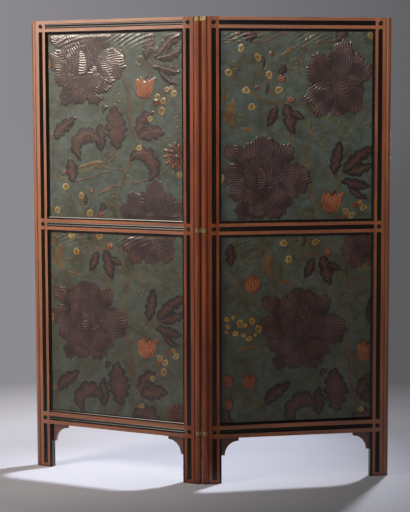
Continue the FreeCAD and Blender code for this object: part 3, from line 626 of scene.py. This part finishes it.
def petal(leather, x, y, turn, size, width, dark, light, lift=0.0):
    """An egg-shaped petal with a scalloped rim and wavy ribs that fan out from its foot."""
    settings = leather.settings
    points = leather.near(x, y, 1.15 * size)
    along, aside = leather.local(points, x, y, turn)
    egg, side = (along / size - 0.56) / 0.44, aside / (0.5 * width)
    angle = np.arctan2(side, egg)
    edge = np.hypot(egg, side) * (1 + 0.05 * np.cos(9 * angle + x) + 0.025 * np.cos(17 * angle + y))
    inside = (1 - edge) * 0.5 * width
    fan = np.arctan2(aside, along + 0.35 * size) * 1.15 * size / (settings.rib_pitch / MM)
    wave = 0.3 * np.sin(along / 15 + 0.8 * fan) + 0.15 * np.sin(along / 6.5 + fan)
    worn = smooth(0.7 + 0.6 * np.sin(aside / 23 + along / 41 + x) * np.sin(along / 27 - aside / 60 + y))
    ribs = worn * crests(fan + wave) * smooth(along / min(RIB_FADE, 0.4 * size)) * smooth(inside / 3)
    dome = np.sqrt(np.clip(1 - edge ** 2, 0, 1))
    rise = lift + settings.petal_rise / MM * dome + settings.rib_rise / MM * ribs
    # Ribs painted lighter and hollows darker: painted highlight and shade, with worn paint on the crests.
    tone = (0.22 + 0.6 * ribs + 0.18 * np.sin(0.05 * along + x)) * smooth(inside / 6)
    leather.lay(points, inside, rise, blend(dark, light, tone))


def rolled_petal(leather, x, y, turn, size, width, dark, light, lift):
    """A petal rolled into a tube, with arched ribs across it."""
    settings = leather.settings
    points = leather.near(x, y, 1.1 * size)
    along, aside = leather.local(points, x, y, turn)
    egg, side = (along / size - 0.5) / 0.5, aside / (0.5 * width)
    edge = np.sqrt(np.clip(egg ** 4 + side ** 2, 0, 4))
    inside = (1 - edge) * 0.5 * width
    ribs = crests((along - 6 * side ** 2) / (settings.rib_pitch / MM)) * smooth(inside / 6)
    arch = np.sqrt(np.clip(1 - side ** 2, 0, 1))
    rise = lift + settings.petal_rise / MM * arch + settings.rib_rise / MM * ribs
    # Ribs painted lighter: painted highlight and shade, with worn paint on the crests.
    leather.lay(points, inside, rise, blend(dark, light, (0.1 + 0.9 * ribs) * smooth(inside / 9)))


def large_blossom(leather, x, y):
    """A full blossom of overlapping ribbed petals round a rolled one, the inner ones over the outer ones."""
    dark, light = np.array(leather.settings.petal_dark), np.array(leather.settings.petal_worn_and_highlit)
    for number, (across, up, turn, size, width) in enumerate(BLOSSOM_PETALS):
        petal(leather, x + across, y + up, turn, size, width, dark, light, PETAL_STEP * number)
    across, up, turn, size, width = ROLLED_PETAL
    lift = PETAL_STEP * len(BLOSSOM_PETALS)
    rolled_petal(leather, x + across, y + up, turn, size, width, dark, light, lift)


def round_blossom(leather, x, y):
    """A round blossom of broad lobes with crinkled rims, with a smooth middle."""
    dark, light = np.array(leather.settings.petal_dark), np.array(leather.settings.petal_worn_and_highlit)
    for number, (turn, size, width) in enumerate(ROUND_LOBES):
        petal(leather, x, y, turn, size, width, dark, light, PETAL_STEP * number)
    across, up, turn, size, width = ROUND_MIDDLE
    lift = PETAL_STEP * len(ROUND_LOBES)
    petal(leather, x + across, y + up, turn, size, width, dark, light, lift)


def leaf(leather, x, y, turn, size, width, curl, dark, light):
    """A leaf with round dark teeth, a midrib and slanting veins, curled along an arc."""
    settings = leather.settings
    bend = math.radians(max(abs(curl), 4))
    radius = size / bend
    points = leather.near(x, y, size)
    along, aside = leather.local(points, x, y, turn)
    aside = aside * (1 if curl >= 0 else -1)
    angle = np.arctan2(along, radius - aside)
    angle = np.where(angle < -0.5 * (math.tau - bend), angle + math.tau, angle)
    share = angle / bend
    offset = radius - np.hypot(along, aside - radius)
    shape = np.sin(math.pi * np.clip(share, 0, 1) ** 0.9) ** 0.65
    notches = abs(np.sin(math.pi * (share * size / TOOTH_PITCH + 0.25 * np.sign(offset))))
    teeth = 1 - TOOTH_DEPTH + TOOTH_DEPTH * np.sqrt(notches)
    half = np.maximum(0.5 * width * shape * teeth, 1e-3)
    inside = np.where((share > 0) & (share < 1), half - abs(offset), -1)
    veins = np.cos(math.tau * (share * size - 0.8 * abs(offset)) / VEIN_PITCH)
    midrib = np.exp(-(offset / 2.2) ** 2)
    rise = settings.leaf_rise / MM * np.sqrt(np.clip(inside / half, 0, 1)) + 0.12 * veins + 0.3 * midrib
    tone = (0.85 + 0.12 * veins) * smooth((inside - 2) / min(DARK_EDGE, 0.4 * width)) + 0.15 * midrib
    leather.lay(points, inside, rise, blend(dark, light, tone))


def blade(leather, x, y, turn, size, width, dark, light, lift):
    """A pointed petal, widest below its middle, with dark streaks along it."""
    points = leather.near(x, y, 1.1 * size)
    along, aside = leather.local(points, x, y, turn)
    share = np.clip(along / size, 0, 1)
    half = np.maximum(0.5 * width * np.sin(math.pi * share ** 0.65) ** 0.8, 1e-3)
    inside = np.where((along > 0) & (along < size), half - abs(aside), -1)
    streaks = np.cos(math.tau * (aside * 0.5 * width / half / STREAK_PITCH + 0.12 * np.sin(along / 9)))
    rise = lift + 0.6 * np.sqrt(np.clip(inside / half, 0, 1)) + 0.2 * streaks
    tone = (0.55 + 0.5 * streaks) * smooth(inside / 4 + 0.1) * (0.75 + 0.25 * smooth(share / 0.5))
    leather.lay(points, inside, rise, blend(dark, light, tone))


def foot_place(x, y, turn, reach):
    """The place that lies as far as reach behind another, along a direction in degrees."""
    return x - reach * math.cos(math.radians(turn)), y - reach * math.sin(math.radians(turn))


def tulip(leather, x, y, turn, size):
    """A cup of pointed petals round a dark hollow."""
    dark, light = np.array(leather.settings.tulip_dark), np.array(leather.settings.tulip_light)
    foot_x, foot_y = foot_place(x, y, turn, 0.52 * size)
    for lean, share in ((12, 0.98), (-10, 1.0)):
        blade(leather, foot_x, foot_y, turn + lean, share * size, 0.6 * size, 0.3 * dark, dark, 0.0)
    for lean, share, lift in TULIP_PETALS:
        blade(leather, foot_x, foot_y, turn + lean, share * size, 0.46 * size, dark, light, lift)


def bud(leather, x, y, turn, size):
    """A closed bud of two rounded petals, one wrapped over the other."""
    dark, light = np.array(leather.settings.tulip_dark), np.array(leather.settings.tulip_light)
    foot_x, foot_y = foot_place(x, y, turn, 0.55 * size)
    petal(leather, foot_x, foot_y, turn + 6, size, 0.8 * size, dark, 0.9 * light)
    petal(leather, foot_x, foot_y, turn - 14, 0.9 * size, 0.42 * size, dark, light, lift=0.6)


def rosette(leather, x, y, width, paint, eye_share):
    """A small round flower: uneven petals, a dark ring and a paler eye."""
    points = leather.near(x, y, width)
    along, aside = leather.local(points, x, y, 0)
    distance = np.hypot(along, aside)
    angle = np.arctan2(aside, along)
    edge = 0.5 * width * (0.9 + 0.05 * np.cos(6 * angle + x) + 0.02 * np.cos(2 * angle + y))
    ring = np.exp(-((distance - eye_share * edge) / (0.15 * width)) ** 2)
    ring = ring * (0.8 + 0.2 * np.cos(2 * angle + y))
    rim = smooth((edge - distance) / 4)
    tones = blend(0.5 * np.array(paint), paint, rim * (0.85 + 0.15 * np.cos(4 * angle + y)))
    tones = tones + (0.95 * ring)[:, None] * (np.array(leather.settings.rosette_eye) - tones)
    leather.lay(points, edge - distance, 0.8 * rim - 0.5 * ring, tones)


def carnation(leather, x, y, size):
    """A full orange flower: three rings of round curled petals with dark gaps round a dark heart."""
    dark, light = np.array(leather.settings.tulip_dark), np.array(leather.settings.tulip_light)
    for count, share, lift in CARNATION_RINGS:
        for number in range(count):
            turn = 360 * number / count + 25 * share
            reach = share * size * (1 + 0.14 * math.sin(7 * number + 3 * share))
            petal(leather, x, y, turn, reach, 0.46 * share * size, 0.35 * dark, light, lift)


def rounded_route(route, rounds=3):
    """A route with its corners cut off again and again, as points."""
    line = np.array(route, float)
    for _ in range(rounds):
        first, last = line[:-1], line[1:]
        cut = np.stack([0.75 * first + 0.25 * last, 0.25 * first + 0.75 * last], axis=1).reshape(-1, 2)
        line = np.concatenate([line[:1], cut, line[-1:]])
    return line


def stem(leather, line, paint, spread, width):
    """A raised line along points. Spread sets twin lines apart, and none makes a single one."""
    low, high = line.min(0) - 12, line.max(0) + 12
    points = np.flatnonzero((leather.across > low[0]) & (leather.across < high[0])
                            & (leather.up > low[1]) & (leather.up < high[1]))
    if not len(points):
        return
    place = np.stack([leather.across[points], leather.up[points]], axis=1)
    nearest = np.full(len(points), np.inf)
    for start, end in zip(line[:-1], line[1:]):
        run = end - start
        share = np.clip((place - start) @ run / max(run @ run, 1e-9), 0, 1)
        nearest = np.minimum(nearest, np.linalg.norm(place - start - share[:, None] * run, axis=1))
    inside = 0.5 * width - abs(nearest - spread)
    tones = blend(0.6 * np.array(paint), paint, smooth(inside / width + 0.3))
    leather.lay(points, inside + 0.5 * SOFT_EDGE, 0.5 * smooth(inside / width + 0.5), tones)


def tendril(leather, x, y, radius, opening):
    """A thin curl that winds inwards."""
    turns = np.linspace(0, math.tau * TENDRIL_TURNS, 30)
    reach = radius * (1 - 0.75 * turns / turns[-1])
    angle = math.radians(opening) + turns
    line = np.stack([x + reach * np.cos(angle), y + reach * np.sin(angle)], axis=1)
    stem(leather, line, leather.settings.tendril, 0.0, TENDRIL_WIDTH)


def emboss(leather):
    """Presses and paints the whole design, from the stems up to the small flowers."""
    for shift in (-REPEAT, 0, REPEAT):
        emboss_stems(leather, shift)
    for shift in (-REPEAT, 0, REPEAT):
        emboss_leaves(leather, shift)
    for shift in (-REPEAT, 0, REPEAT):
        large_blossom(leather, 0, shift)
        round_blossom(leather, ROUND_PLACE[0], ROUND_PLACE[1] + shift)
    for shift in (-REPEAT, 0, REPEAT):
        emboss_flowers(leather, shift)


def emboss_stems(leather, shift):
    """Stems and tendrils of one repeat."""
    paints = leather.settings
    for x, y, radius, opening in TENDRILS:
        tendril(leather, x, y + shift, radius, opening)
    for route in THIN_STEMS:
        stem(leather, rounded_route(route) + (0, shift), paints.stem, 0.0, THIN_STEM)
    for route in RED_STEMS:
        stem(leather, rounded_route(route) + (0, shift), paints.red_stem, 0.0, RED_STEM)
    for route in TWIN_STEMS:
        stem(leather, rounded_route(route) + (0, shift), paints.stem, TWIN_SPREAD, TWIN_STEM)


def emboss_leaves(leather, shift):
    """Dark leaves and small ochre leaves of one repeat."""
    paints = leather.settings
    for x, y, turn, size, width, curl in OCHRE_LEAVES:
        leaf(leather, x, y + shift, turn, size, width, curl, paints.stem, paints.ochre)
    for x, y, turn, size, width, curl in LEAVES:
        leaf(leather, x, y + shift, turn, size, width, curl, paints.leaf_dark, paints.leaf_light)


def emboss_flowers(leather, shift):
    """Small flowers of one repeat."""
    paints = leather.settings
    for x, y, turn, size in TULIPS:
        tulip(leather, x, y + shift, turn, size)
    for x, y, turn, size in BUDS:
        bud(leather, x, y + shift, turn, size)
    for x, y, size in CARNATIONS:
        carnation(leather, x, y + shift, size)
    for x, y, width in ROSETTES:
        rosette(leather, x, y + shift, width, paints.rosette, ROSETTE_EYE)
    for x, y, width in SPOTS:
        rosette(leather, x, y + shift, width, paints.spot, 0.0)


def slack_waves(across, up):
    """Low waves of a sheet that has slackened on its frame, from -1 to 1."""
    return np.sin(across / 61 + 1.3 * np.sin(up / 97)) * np.sin(up / 83 + 0.9 * np.sin(across / 120 + 1))


def drag_folds(across, below_top):
    """Slanting folds where the top edge has been pulled tight, in millimetres, dying out below it."""
    slant = (below_top + FOLD_SLANT * across + 11 * np.sin(across / 53)) / 2.8
    fading = np.exp(-(below_top / FOLD_REACH) ** 2)
    return FOLD_RISE * (1 + np.sin(slant)) * fading * np.sin(across / 90 + 0.6) ** 2


# Sheets and carried-over pieces

def leaf_turn(node):
    """How far the leaf that a node belongs to is turned."""
    return HANDS[node.split("_")[0]] * LEAF_TURN


def sheet_place(node, thickness):
    """Where a flat sheet of a leaf lies: its middle, the ways to its right and front, width and height."""
    turn = leaf_turn(node)
    low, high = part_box(node)
    width = (high.x - low.x - thickness * math.sin(LEAF_TURN)) / math.cos(LEAF_TURN)
    right = Vector((math.cos(turn), math.sin(turn), 0))
    front = Vector((math.sin(turn), -math.cos(turn), 0))
    return (low + high) / 2, right, front, width, high.z - low.z


def flat_grid(name, width, height, cell):
    """A grid of even cells, one unit wide and high until it is shaped."""
    bpy.ops.object.select_all(action="DESELECT")
    bpy.ops.mesh.primitive_grid_add(
        x_subdivisions=round(width / cell), y_subdivisions=round(height / cell), size=1)
    piece = bpy.context.object
    piece.name = name
    piece.data.name = name
    return piece


def grid_points(piece, width, height):
    """How far across and up each point of a flat grid lies, in millimetres, and the points row by row."""
    places = np.zeros(3 * len(piece.data.vertices))
    piece.data.vertices.foreach_get("co", places)
    across, up = places[0::3] + 0.5, places[1::3] + 0.5
    order = np.lexsort((across, up))
    columns = int(np.count_nonzero(up < 1e-6))
    return across * width / MM, up * height / MM, order.reshape(-1, columns)


def stretch_sheet(piece, middle, right, facing, width, height, rise, across, up, thickness):
    """Moves a grid to its place with its face raised, then gives it a rim and a flat other side."""
    corner = np.array(middle + 0.5 * thickness * facing - 0.5 * width * right - Vector((0, 0, 0.5 * height)))
    places = corner + np.outer(across * MM, right) + np.outer(up * MM, (0, 0, 1))
    places = places + np.outer(rise * MM, facing)
    piece.data.vertices.foreach_set("co", places.ravel())
    piece.data.update()
    bpy.ops.object.mode_set(mode="EDIT")
    bpy.ops.mesh.select_mode(type="EDGE")
    bpy.ops.mesh.select_all(action="SELECT")
    bpy.ops.mesh.region_to_loop()
    bpy.ops.mesh.extrude_edges_move(TRANSFORM_OT_translate={"value": -thickness * facing})
    bpy.ops.mesh.edge_face_add()
    bpy.ops.mesh.select_all(action="SELECT")
    bpy.ops.mesh.normals_make_consistent(inside=False)
    bpy.ops.object.mode_set(mode="OBJECT")
    bpy.ops.object.shade_smooth_by_angle(angle=math.radians(50))


def dress(piece, material):
    """Gives a piece one material."""
    piece.data.materials.clear()
    piece.data.materials.append(material)


def finish_nodes(endings, make_material):
    """Gives the CAD nodes of both leaves whose names end in one of the endings a material for their leaf."""
    for side, hand in HANDS.items():
        material = make_material(side, hand * LEAF_TURN)
        for ending in endings:
            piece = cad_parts[f"{side}_{ending}"]
            dress(piece, material)


class SCREEN_OT_leather_panels(bpy.types.Operator):
    """Makes the four embossed and painted leathers, stretched over their strainers"""

    bl_idname = "screen.leather_panels"
    bl_label = "Leather Panels"

    HIDDEN_RIM = 11.0        # the bead holds this much of each edge flat
    RISING_RIM = 14.0        # the relief rises to its full height over this much more
    SLACK_RIM = 90.0         # the slack waves rise to their full height over this much more

    def execute(self, context):
        settings = context.scene.screen_leather
        for side in HANDS:
            material = painted_leather(f"painted_leather_{side}", settings, HANDS[side] * LEAF_TURN)
            for tier in TIERS:
                self.make_panel(settings, side, tier, material)
        return {"FINISHED"}

    def make_panel(self, settings, side, tier, material):
        node = f"{side}_{tier}_leather"
        middle, right, front, width, height = sheet_place(node, settings.thickness)
        piece = flat_grid(f"{side}_{tier}_leather_panel", width, height, settings.cell)
        across, up, rows = grid_points(piece, width, height)
        blossom_x, blossom_y = BLOSSOM_PLACES[side, tier]
        leather = Embossing(across - blossom_x - self.HIDDEN_RIM, up - blossom_y - self.HIDDEN_RIM, settings)
        emboss(leather)
        rim = np.minimum.reduce([across, up, width / MM - across, height / MM - up])
        waves = settings.cockle / MM * (1 + slack_waves(across, up))
        folds = drag_folds(across, height / MM - up)
        rise = waves * smooth((rim - self.HIDDEN_RIM) / self.SLACK_RIM)
        rise = rise + (leather.rise + folds) * smooth((rim - self.HIDDEN_RIM) / self.RISING_RIM)
        self.paint_points(piece, leather.paint, rise, rows)
        stretch_sheet(piece, middle, right, front, width, height, rise, across, up, settings.thickness)
        dress(piece, material)
        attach(piece, f"{side}_leaf")
        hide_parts(node)

    def paint_points(self, piece, paint, rise, rows):
        """Keeps the paint on the mesh, with dark glaze in the hollows and rubbed crests."""
        relief = np.pad(rise[rows], 1, mode="edge")
        around = (relief[:-2, 1:-1] + relief[2:, 1:-1] + relief[1:-1, :-2] + relief[1:-1, 2:]) / 4
        hollow = np.zeros_like(rise)
        hollow[rows] = around - rise[rows]
        glaze = 1 - GLAZE * np.clip(hollow / FULL_HOLLOW, -1, 1)
        colours = np.ones((len(paint), 4))
        colours[:, :3] = np.clip(paint * glaze[:, None], 0, 1)
        layer = piece.data.color_attributes.new("paint", "FLOAT_COLOR", "POINT")
        layer.data.foreach_set("color", colours.ravel())


class SCREEN_OT_lining_cloths(bpy.types.Operator):
    """Makes the four lining cloths on the backs of the panels"""

    bl_idname = "screen.lining_cloths"
    bl_label = "Lining Cloths"

    HELD_RIM = 20.0          # the bead holds this much of each edge flat, and the slack grows over as much

    def execute(self, context):
        settings = context.scene.screen_lining
        for side, hand in HANDS.items():
            material = lining_cloth(f"lining_cotton_{side}", settings, hand * LEAF_TURN)
            for tier in TIERS:
                node = f"{side}_{tier}_lining"
                middle, right, front, width, height = sheet_place(node, settings.thickness)
                piece = flat_grid(f"{side}_{tier}_lining_cloth", width, height, settings.cell)
                across, up, _ = grid_points(piece, width, height)
                rim = np.minimum.reduce([across, up, width / MM - across, height / MM - up])
                waves = settings.slack / MM * (slack_waves(across, up) - 1)
                rise = waves * smooth((rim - self.HELD_RIM) / self.HELD_RIM)
                stretch_sheet(piece, middle, right, -front, width, height, rise, across, up,
                              settings.thickness)
                dress(piece, material)
                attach(piece, f"{side}_leaf")
                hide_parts(node)
        return {"FINISHED"}


class SCREEN_OT_frame_wood(bpy.types.Operator):
    """Polishes the stiles, rails, brackets and back beads"""

    bl_idname = "screen.frame_wood"
    bl_label = "Frame Wood"

    HINGE_SHADE = (0.85, 0.62, 0.48)     # the hinge stiles are painted darker and redder, a painted shade
    HINGE_SHINE = 0.5                    # and rubbed duller
    BRACKET_SHADE = (0.45, 0.43, 0.43)   # and the brackets painted darker, a painted shade under the bottom rail

    def execute(self, context):
        wood = context.scene.screen_wood
        finish_nodes(("outer_stile", "upper_back_bead", "lower_back_bead"),
                     lambda side, turn: mahogany(f"polished_mahogany_upright_{side}", wood, turn, False))
        finish_nodes(("hinge_stile",),
                     lambda side, turn: mahogany(f"shaded_mahogany_upright_{side}", wood, turn, False,
                                                 self.HINGE_SHADE, self.HINGE_SHINE))
        finish_nodes(("top_rail", "middle_rail", "bottom_rail"),
                     lambda side, turn: mahogany(f"polished_mahogany_level_{side}", wood, turn, True))
        finish_nodes(("hinge_bracket", "outer_bracket"),
                     lambda side, turn: mahogany(f"shaded_mahogany_level_{side}", wood, turn, True,
                                                 self.BRACKET_SHADE))
        return {"FINISHED"}


class SCREEN_OT_black_mouldings(bpy.types.Operator):
    """Stains the strips, beads, roundels and foot slips black"""

    bl_idname = "screen.black_mouldings"
    bl_label = "Black Mouldings"

    def execute(self, context):
        wood = context.scene.screen_wood
        upright = ["stile_strips", "roundels", "foot_slips", "upper_sight_bead", "lower_sight_bead"]
        finish_nodes(upright,
                     lambda side, turn: ebonised(f"ebonised_pear_upright_{side}", wood, turn, False))
        finish_nodes(["rail_strips"],
                     lambda side, turn: ebonised(f"ebonised_pear_level_{side}", wood, turn, True))
        return {"FINISHED"}


class SCREEN_OT_strainers(bpy.types.Operator):
    """Gives the strainers inside the panels their bare pine"""

    bl_idname = "screen.strainers"
    bl_label = "Strainers"

    def execute(self, context):
        wood = context.scene.screen_wood
        finish_nodes([f"{tier}_strainer" for tier in TIERS],
                     lambda side, turn: pine_wood(f"bare_pine_{side}", wood))
        return {"FINISHED"}


class SCREEN_OT_brass_hinges(bpy.types.Operator):
    """Finishes the hinge links and pins in rubbed brass"""

    bl_idname = "screen.brass_hinges"
    bl_label = "Brass Hinges"

    def execute(self, context):
        material = aged_brass("aged_brass", context.scene.screen_brass)
        links = [f"{place}_hinge_link" for place in ("top", "middle", "bottom")]
        for node in links + [f"{side}_hinge_pins" for side in HANDS]:
            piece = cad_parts[node]
            dress(piece, material)
        return {"FINISHED"}


class SCREEN_OT_stage(bpy.types.Operator):
    """Sets the floor, the surroundings, the lamps and the camera"""

    bl_idname = "screen.stage"
    bl_label = "Stage"

    # Floor, in metres from the part's origin.
    FLOOR_RADIUS = 150.0
    NEAR_FLOOR = 0.8         # the floor starts to fade into a glow of its own here
    FAR_FLOOR = 1.4          # and has faded into it here
    FLOOR_GLOW = 3.0         # the glow starts this many times as pale as the surroundings
    LEVEL_FLOOR = 2.3        # and is as pale as they are from here on
    FLOOR_CAMERA_GLOW = 0.1        # share of the near floor's grey that glows for the camera alone, a painted light that lifts the floor's shadows
    # Painted light: the near floor's grey is paler on the left and at the front, darker on the right and at
    # the back, in place of the lamps' falloff.
    FLOOR_TURN = 0.6         # the near floor's grey turns from left to right between this far to either side
    FRONT, FRONT_SHARE = -0.35, 1.3      # at this depth it is this many times as pale
    BACK, BACK_SHARE = 0.5, 0.78         # and at this one that many times
    WORLD_LEVEL = 0.3        # share of the surroundings' grey that lights the object
    # The surroundings turn from their left to their right grey between these shares to the right.
    LEFT_SHARE, RIGHT_SHARE = -0.27, 0.03
    # Lamps: name, place, what it is aimed at, width in metres, watts, spread in degrees, colour.
    LAMPS = [
        ("key_lamp", (-3.0, -2.2, 2.9), (-0.95, 0.22, 1.27), 1.4, 16.2, 46, "#fff1e0"),
        ("front_lamp", (0.8, -2.4, 3.0), (0.42, 0.1, 1.8), 1.2, 5.9, 52, "#fff6ec"),
        ("back_lamp", (0.97, 1.32, 1.36), (-0.75, -0.13, 0.0), 0.2, 22.0, 92, "#f1f3ff"),
    ]

    def execute(self, context):
        settings = context.scene.screen_stage
        context.scene.view_settings.view_transform = "Standard"
        self.make_floor(settings)
        self.make_surroundings(context.scene, settings)
        for lamp in self.LAMPS:
            self.make_lamp(*lamp)
        self.make_camera(context.scene, settings)
        return {"FINISHED"}

    def make_floor(self, settings):
        bpy.ops.object.select_all(action="DESELECT")
        bpy.ops.mesh.primitive_circle_add(vertices=96, radius=self.FLOOR_RADIUS, fill_type="NGON")
        floor = bpy.context.object
        floor.name = "studio_floor"
        material, tree, shader = new_material("floor_with_painted_light")
        shader.inputs["Roughness"].default_value = 0.7
        place = add_node(tree, "ShaderNodeTexCoord")
        parts = add_node(tree, "ShaderNodeSeparateXYZ", {"Vector": place.outputs["Object"]})
        # Painted light on the floor: paler to the left and to the front.
        share = add_node(tree, "ShaderNodeMapRange", {
            "Value": parts.outputs["X"], "From Min": -self.FLOOR_TURN, "From Max": self.FLOOR_TURN})
        grey = add_node(tree, "ShaderNodeMix", {
            "Factor": share.outputs["Result"], MIX_A: rgba(settings.floor_left_lit),
            MIX_B: rgba(settings.floor_right_shaded)},
            data_type="RGBA").outputs[MIXED]
        depth = add_node(tree, "ShaderNodeMapRange", {
            "Value": parts.outputs["Y"], "From Min": self.FRONT, "From Max": self.BACK,
            "To Min": self.FRONT_SHARE, "To Max": self.BACK_SHARE})
        shaded = add_node(tree, "ShaderNodeVectorMath", {0: grey, "Scale": depth.outputs["Result"]},
                          operation="SCALE").outputs["Vector"]
        # Painted light: the floor glows for camera rays alone.
        ray = add_node(tree, "ShaderNodeLightPath")
        clear = add_node(tree, "ShaderNodeMath", {0: ray.outputs["Is Camera Ray"], 1: self.FLOOR_CAMERA_GLOW},
                         operation="MULTIPLY")
        tree.links.new(shaded, shader.inputs["Base Color"])
        tree.links.new(shaded, shader.inputs["Emission Color"])
        tree.links.new(clear.outputs["Value"], shader.inputs["Emission Strength"])
        distance = add_node(tree, "ShaderNodeVectorMath", {0: place.outputs["Object"]}, operation="LENGTH")
        fading = add_node(tree, "ShaderNodeMapRange", {
            "Value": distance.outputs["Value"], "From Min": self.NEAR_FLOOR, "From Max": self.FAR_FLOOR},
            interpolation_type="SMOOTHSTEP")
        outwards = add_node(tree, "ShaderNodeVectorMath", {0: place.outputs["Object"]}, operation="NORMALIZE")
        paling = add_node(tree, "ShaderNodeMapRange", {
            "Value": distance.outputs["Value"], "From Min": self.NEAR_FLOOR, "From Max": self.LEVEL_FLOOR,
            "To Min": self.FLOOR_GLOW, "To Max": 1.0})
        glow = add_node(tree, "ShaderNodeEmission", {
            "Color": self.surrounding_grey(tree, outwards.outputs["Vector"], settings),
            "Strength": paling.outputs["Result"]})
        faded = add_node(tree, "ShaderNodeMixShader", {
            "Fac": fading.outputs["Result"], 1: shader.outputs["BSDF"], 2: glow.outputs["Emission"]})
        tree.links.new(faded.outputs["Shader"], tree.nodes["Material Output"].inputs["Surface"])
        dress(floor, material)

    def surrounding_grey(self, tree, direction, settings):
        """The grey of the surroundings in a direction, lighter on the left than on the right."""
        parts = add_node(tree, "ShaderNodeSeparateXYZ", {"Vector": direction})
        share = add_node(tree, "ShaderNodeMapRange", {
            "Value": parts.outputs["X"], "From Min": self.LEFT_SHARE, "From Max": self.RIGHT_SHARE})
        return add_node(tree, "ShaderNodeMix", {
            "Factor": share.outputs["Result"], MIX_A: rgba(settings.wall_left),
            MIX_B: rgba(settings.wall_right)},
            data_type="RGBA").outputs[MIXED]

    def make_surroundings(self, scene, settings):
        world = bpy.data.worlds.new("studio")
        world.use_nodes = True
        tree = world.node_tree
        place = add_node(tree, "ShaderNodeTexCoord")
        ray = add_node(tree, "ShaderNodeLightPath")
        level = add_node(tree, "ShaderNodeMapRange", {
            "Value": ray.outputs["Is Camera Ray"], "To Min": self.WORLD_LEVEL})
        grey = self.surrounding_grey(tree, place.outputs["Generated"], settings)
        tree.links.new(grey, tree.nodes["Background"].inputs["Color"])
        tree.links.new(level.outputs["Result"], tree.nodes["Background"].inputs["Strength"])
        scene.world = world

    def make_lamp(self, name, place, target, width, power, spread, tint):
        bpy.ops.object.light_add(type="AREA", location=place)
        lamp = bpy.context.object
        lamp.name = name
        lamp.data.size = width
        lamp.data.energy = power
        lamp.data.color = linear(tint)
        lamp.data.spread = math.radians(spread)
        lamp.rotation_euler = (Vector(target) - Vector(place)).to_track_quat("-Z", "Y").to_euler()

    def make_camera(self, scene, settings):
        place = Vector((settings.camera_x, -settings.camera_y, settings.camera_z))
        bpy.ops.object.camera_add(location=place)
        camera = bpy.context.object
        camera.name = "view_camera"
        cos, sin = math.cos(settings.pitch), math.sin(settings.pitch)
        forward = Vector((math.sin(settings.yaw) * cos, math.cos(settings.yaw) * cos, -sin))
        level = Vector((math.cos(settings.yaw), -math.sin(settings.yaw), 0))
        down = forward.cross(level)
        right = math.cos(settings.roll) * level + math.sin(settings.roll) * down
        up = right.cross(forward)
        camera.matrix_world = Matrix.Translation(place) @ Matrix((right, up, -forward)).transposed().to_4x4()
        camera.data.lens = settings.focal
        scene.camera = camera


class SCREEN_PT_sidebar(bpy.types.Panel):
    """Lists the steps that dress the screen"""

    bl_label = "Leather Folding Screen"
    bl_idname = "SCREEN_PT_sidebar"
    bl_space_type = "VIEW_3D"
    bl_region_type = "UI"
    bl_category = "Screen"

    def draw(self, context):
        for operator in OPERATORS:
            self.layout.operator(operator.bl_idname)
        for name in SETTINGS:
            settings = getattr(context.scene, name)
            box = self.layout.box()
            for setting in settings.__annotations__:
                box.prop(settings, setting)


SETTINGS = {
    "screen_leather": LeatherSettings,
    "screen_wood": WoodSettings,
    "screen_brass": BrassSettings,
    "screen_lining": LiningSettings,
    "screen_stage": StageSettings,
}
OPERATORS = (
    SCREEN_OT_leather_panels,
    SCREEN_OT_lining_cloths,
    SCREEN_OT_frame_wood,
    SCREEN_OT_black_mouldings,
    SCREEN_OT_strainers,
    SCREEN_OT_brass_hinges,
    SCREEN_OT_stage,
)


def register():
    for name, group in SETTINGS.items():
        bpy.utils.register_class(group)
        setattr(bpy.types.Scene, name, bpy.props.PointerProperty(type=group))
    for operator in OPERATORS:
        bpy.utils.register_class(operator)
    bpy.utils.register_class(SCREEN_PT_sidebar)


def unregister():
    bpy.utils.unregister_class(SCREEN_PT_sidebar)
    for operator in reversed(OPERATORS):
        bpy.utils.unregister_class(operator)
    for name, group in reversed(SETTINGS.items()):
        delattr(bpy.types.Scene, name)
        bpy.utils.unregister_class(group)


def main():
    register()
    bpy.ops.screen.leather_panels()
    bpy.ops.screen.lining_cloths()
    bpy.ops.screen.frame_wood()
    bpy.ops.screen.black_mouldings()
    bpy.ops.screen.strainers()
    bpy.ops.screen.brass_hinges()
    bpy.ops.screen.stage()


if __name__ == "__main__":
    main()
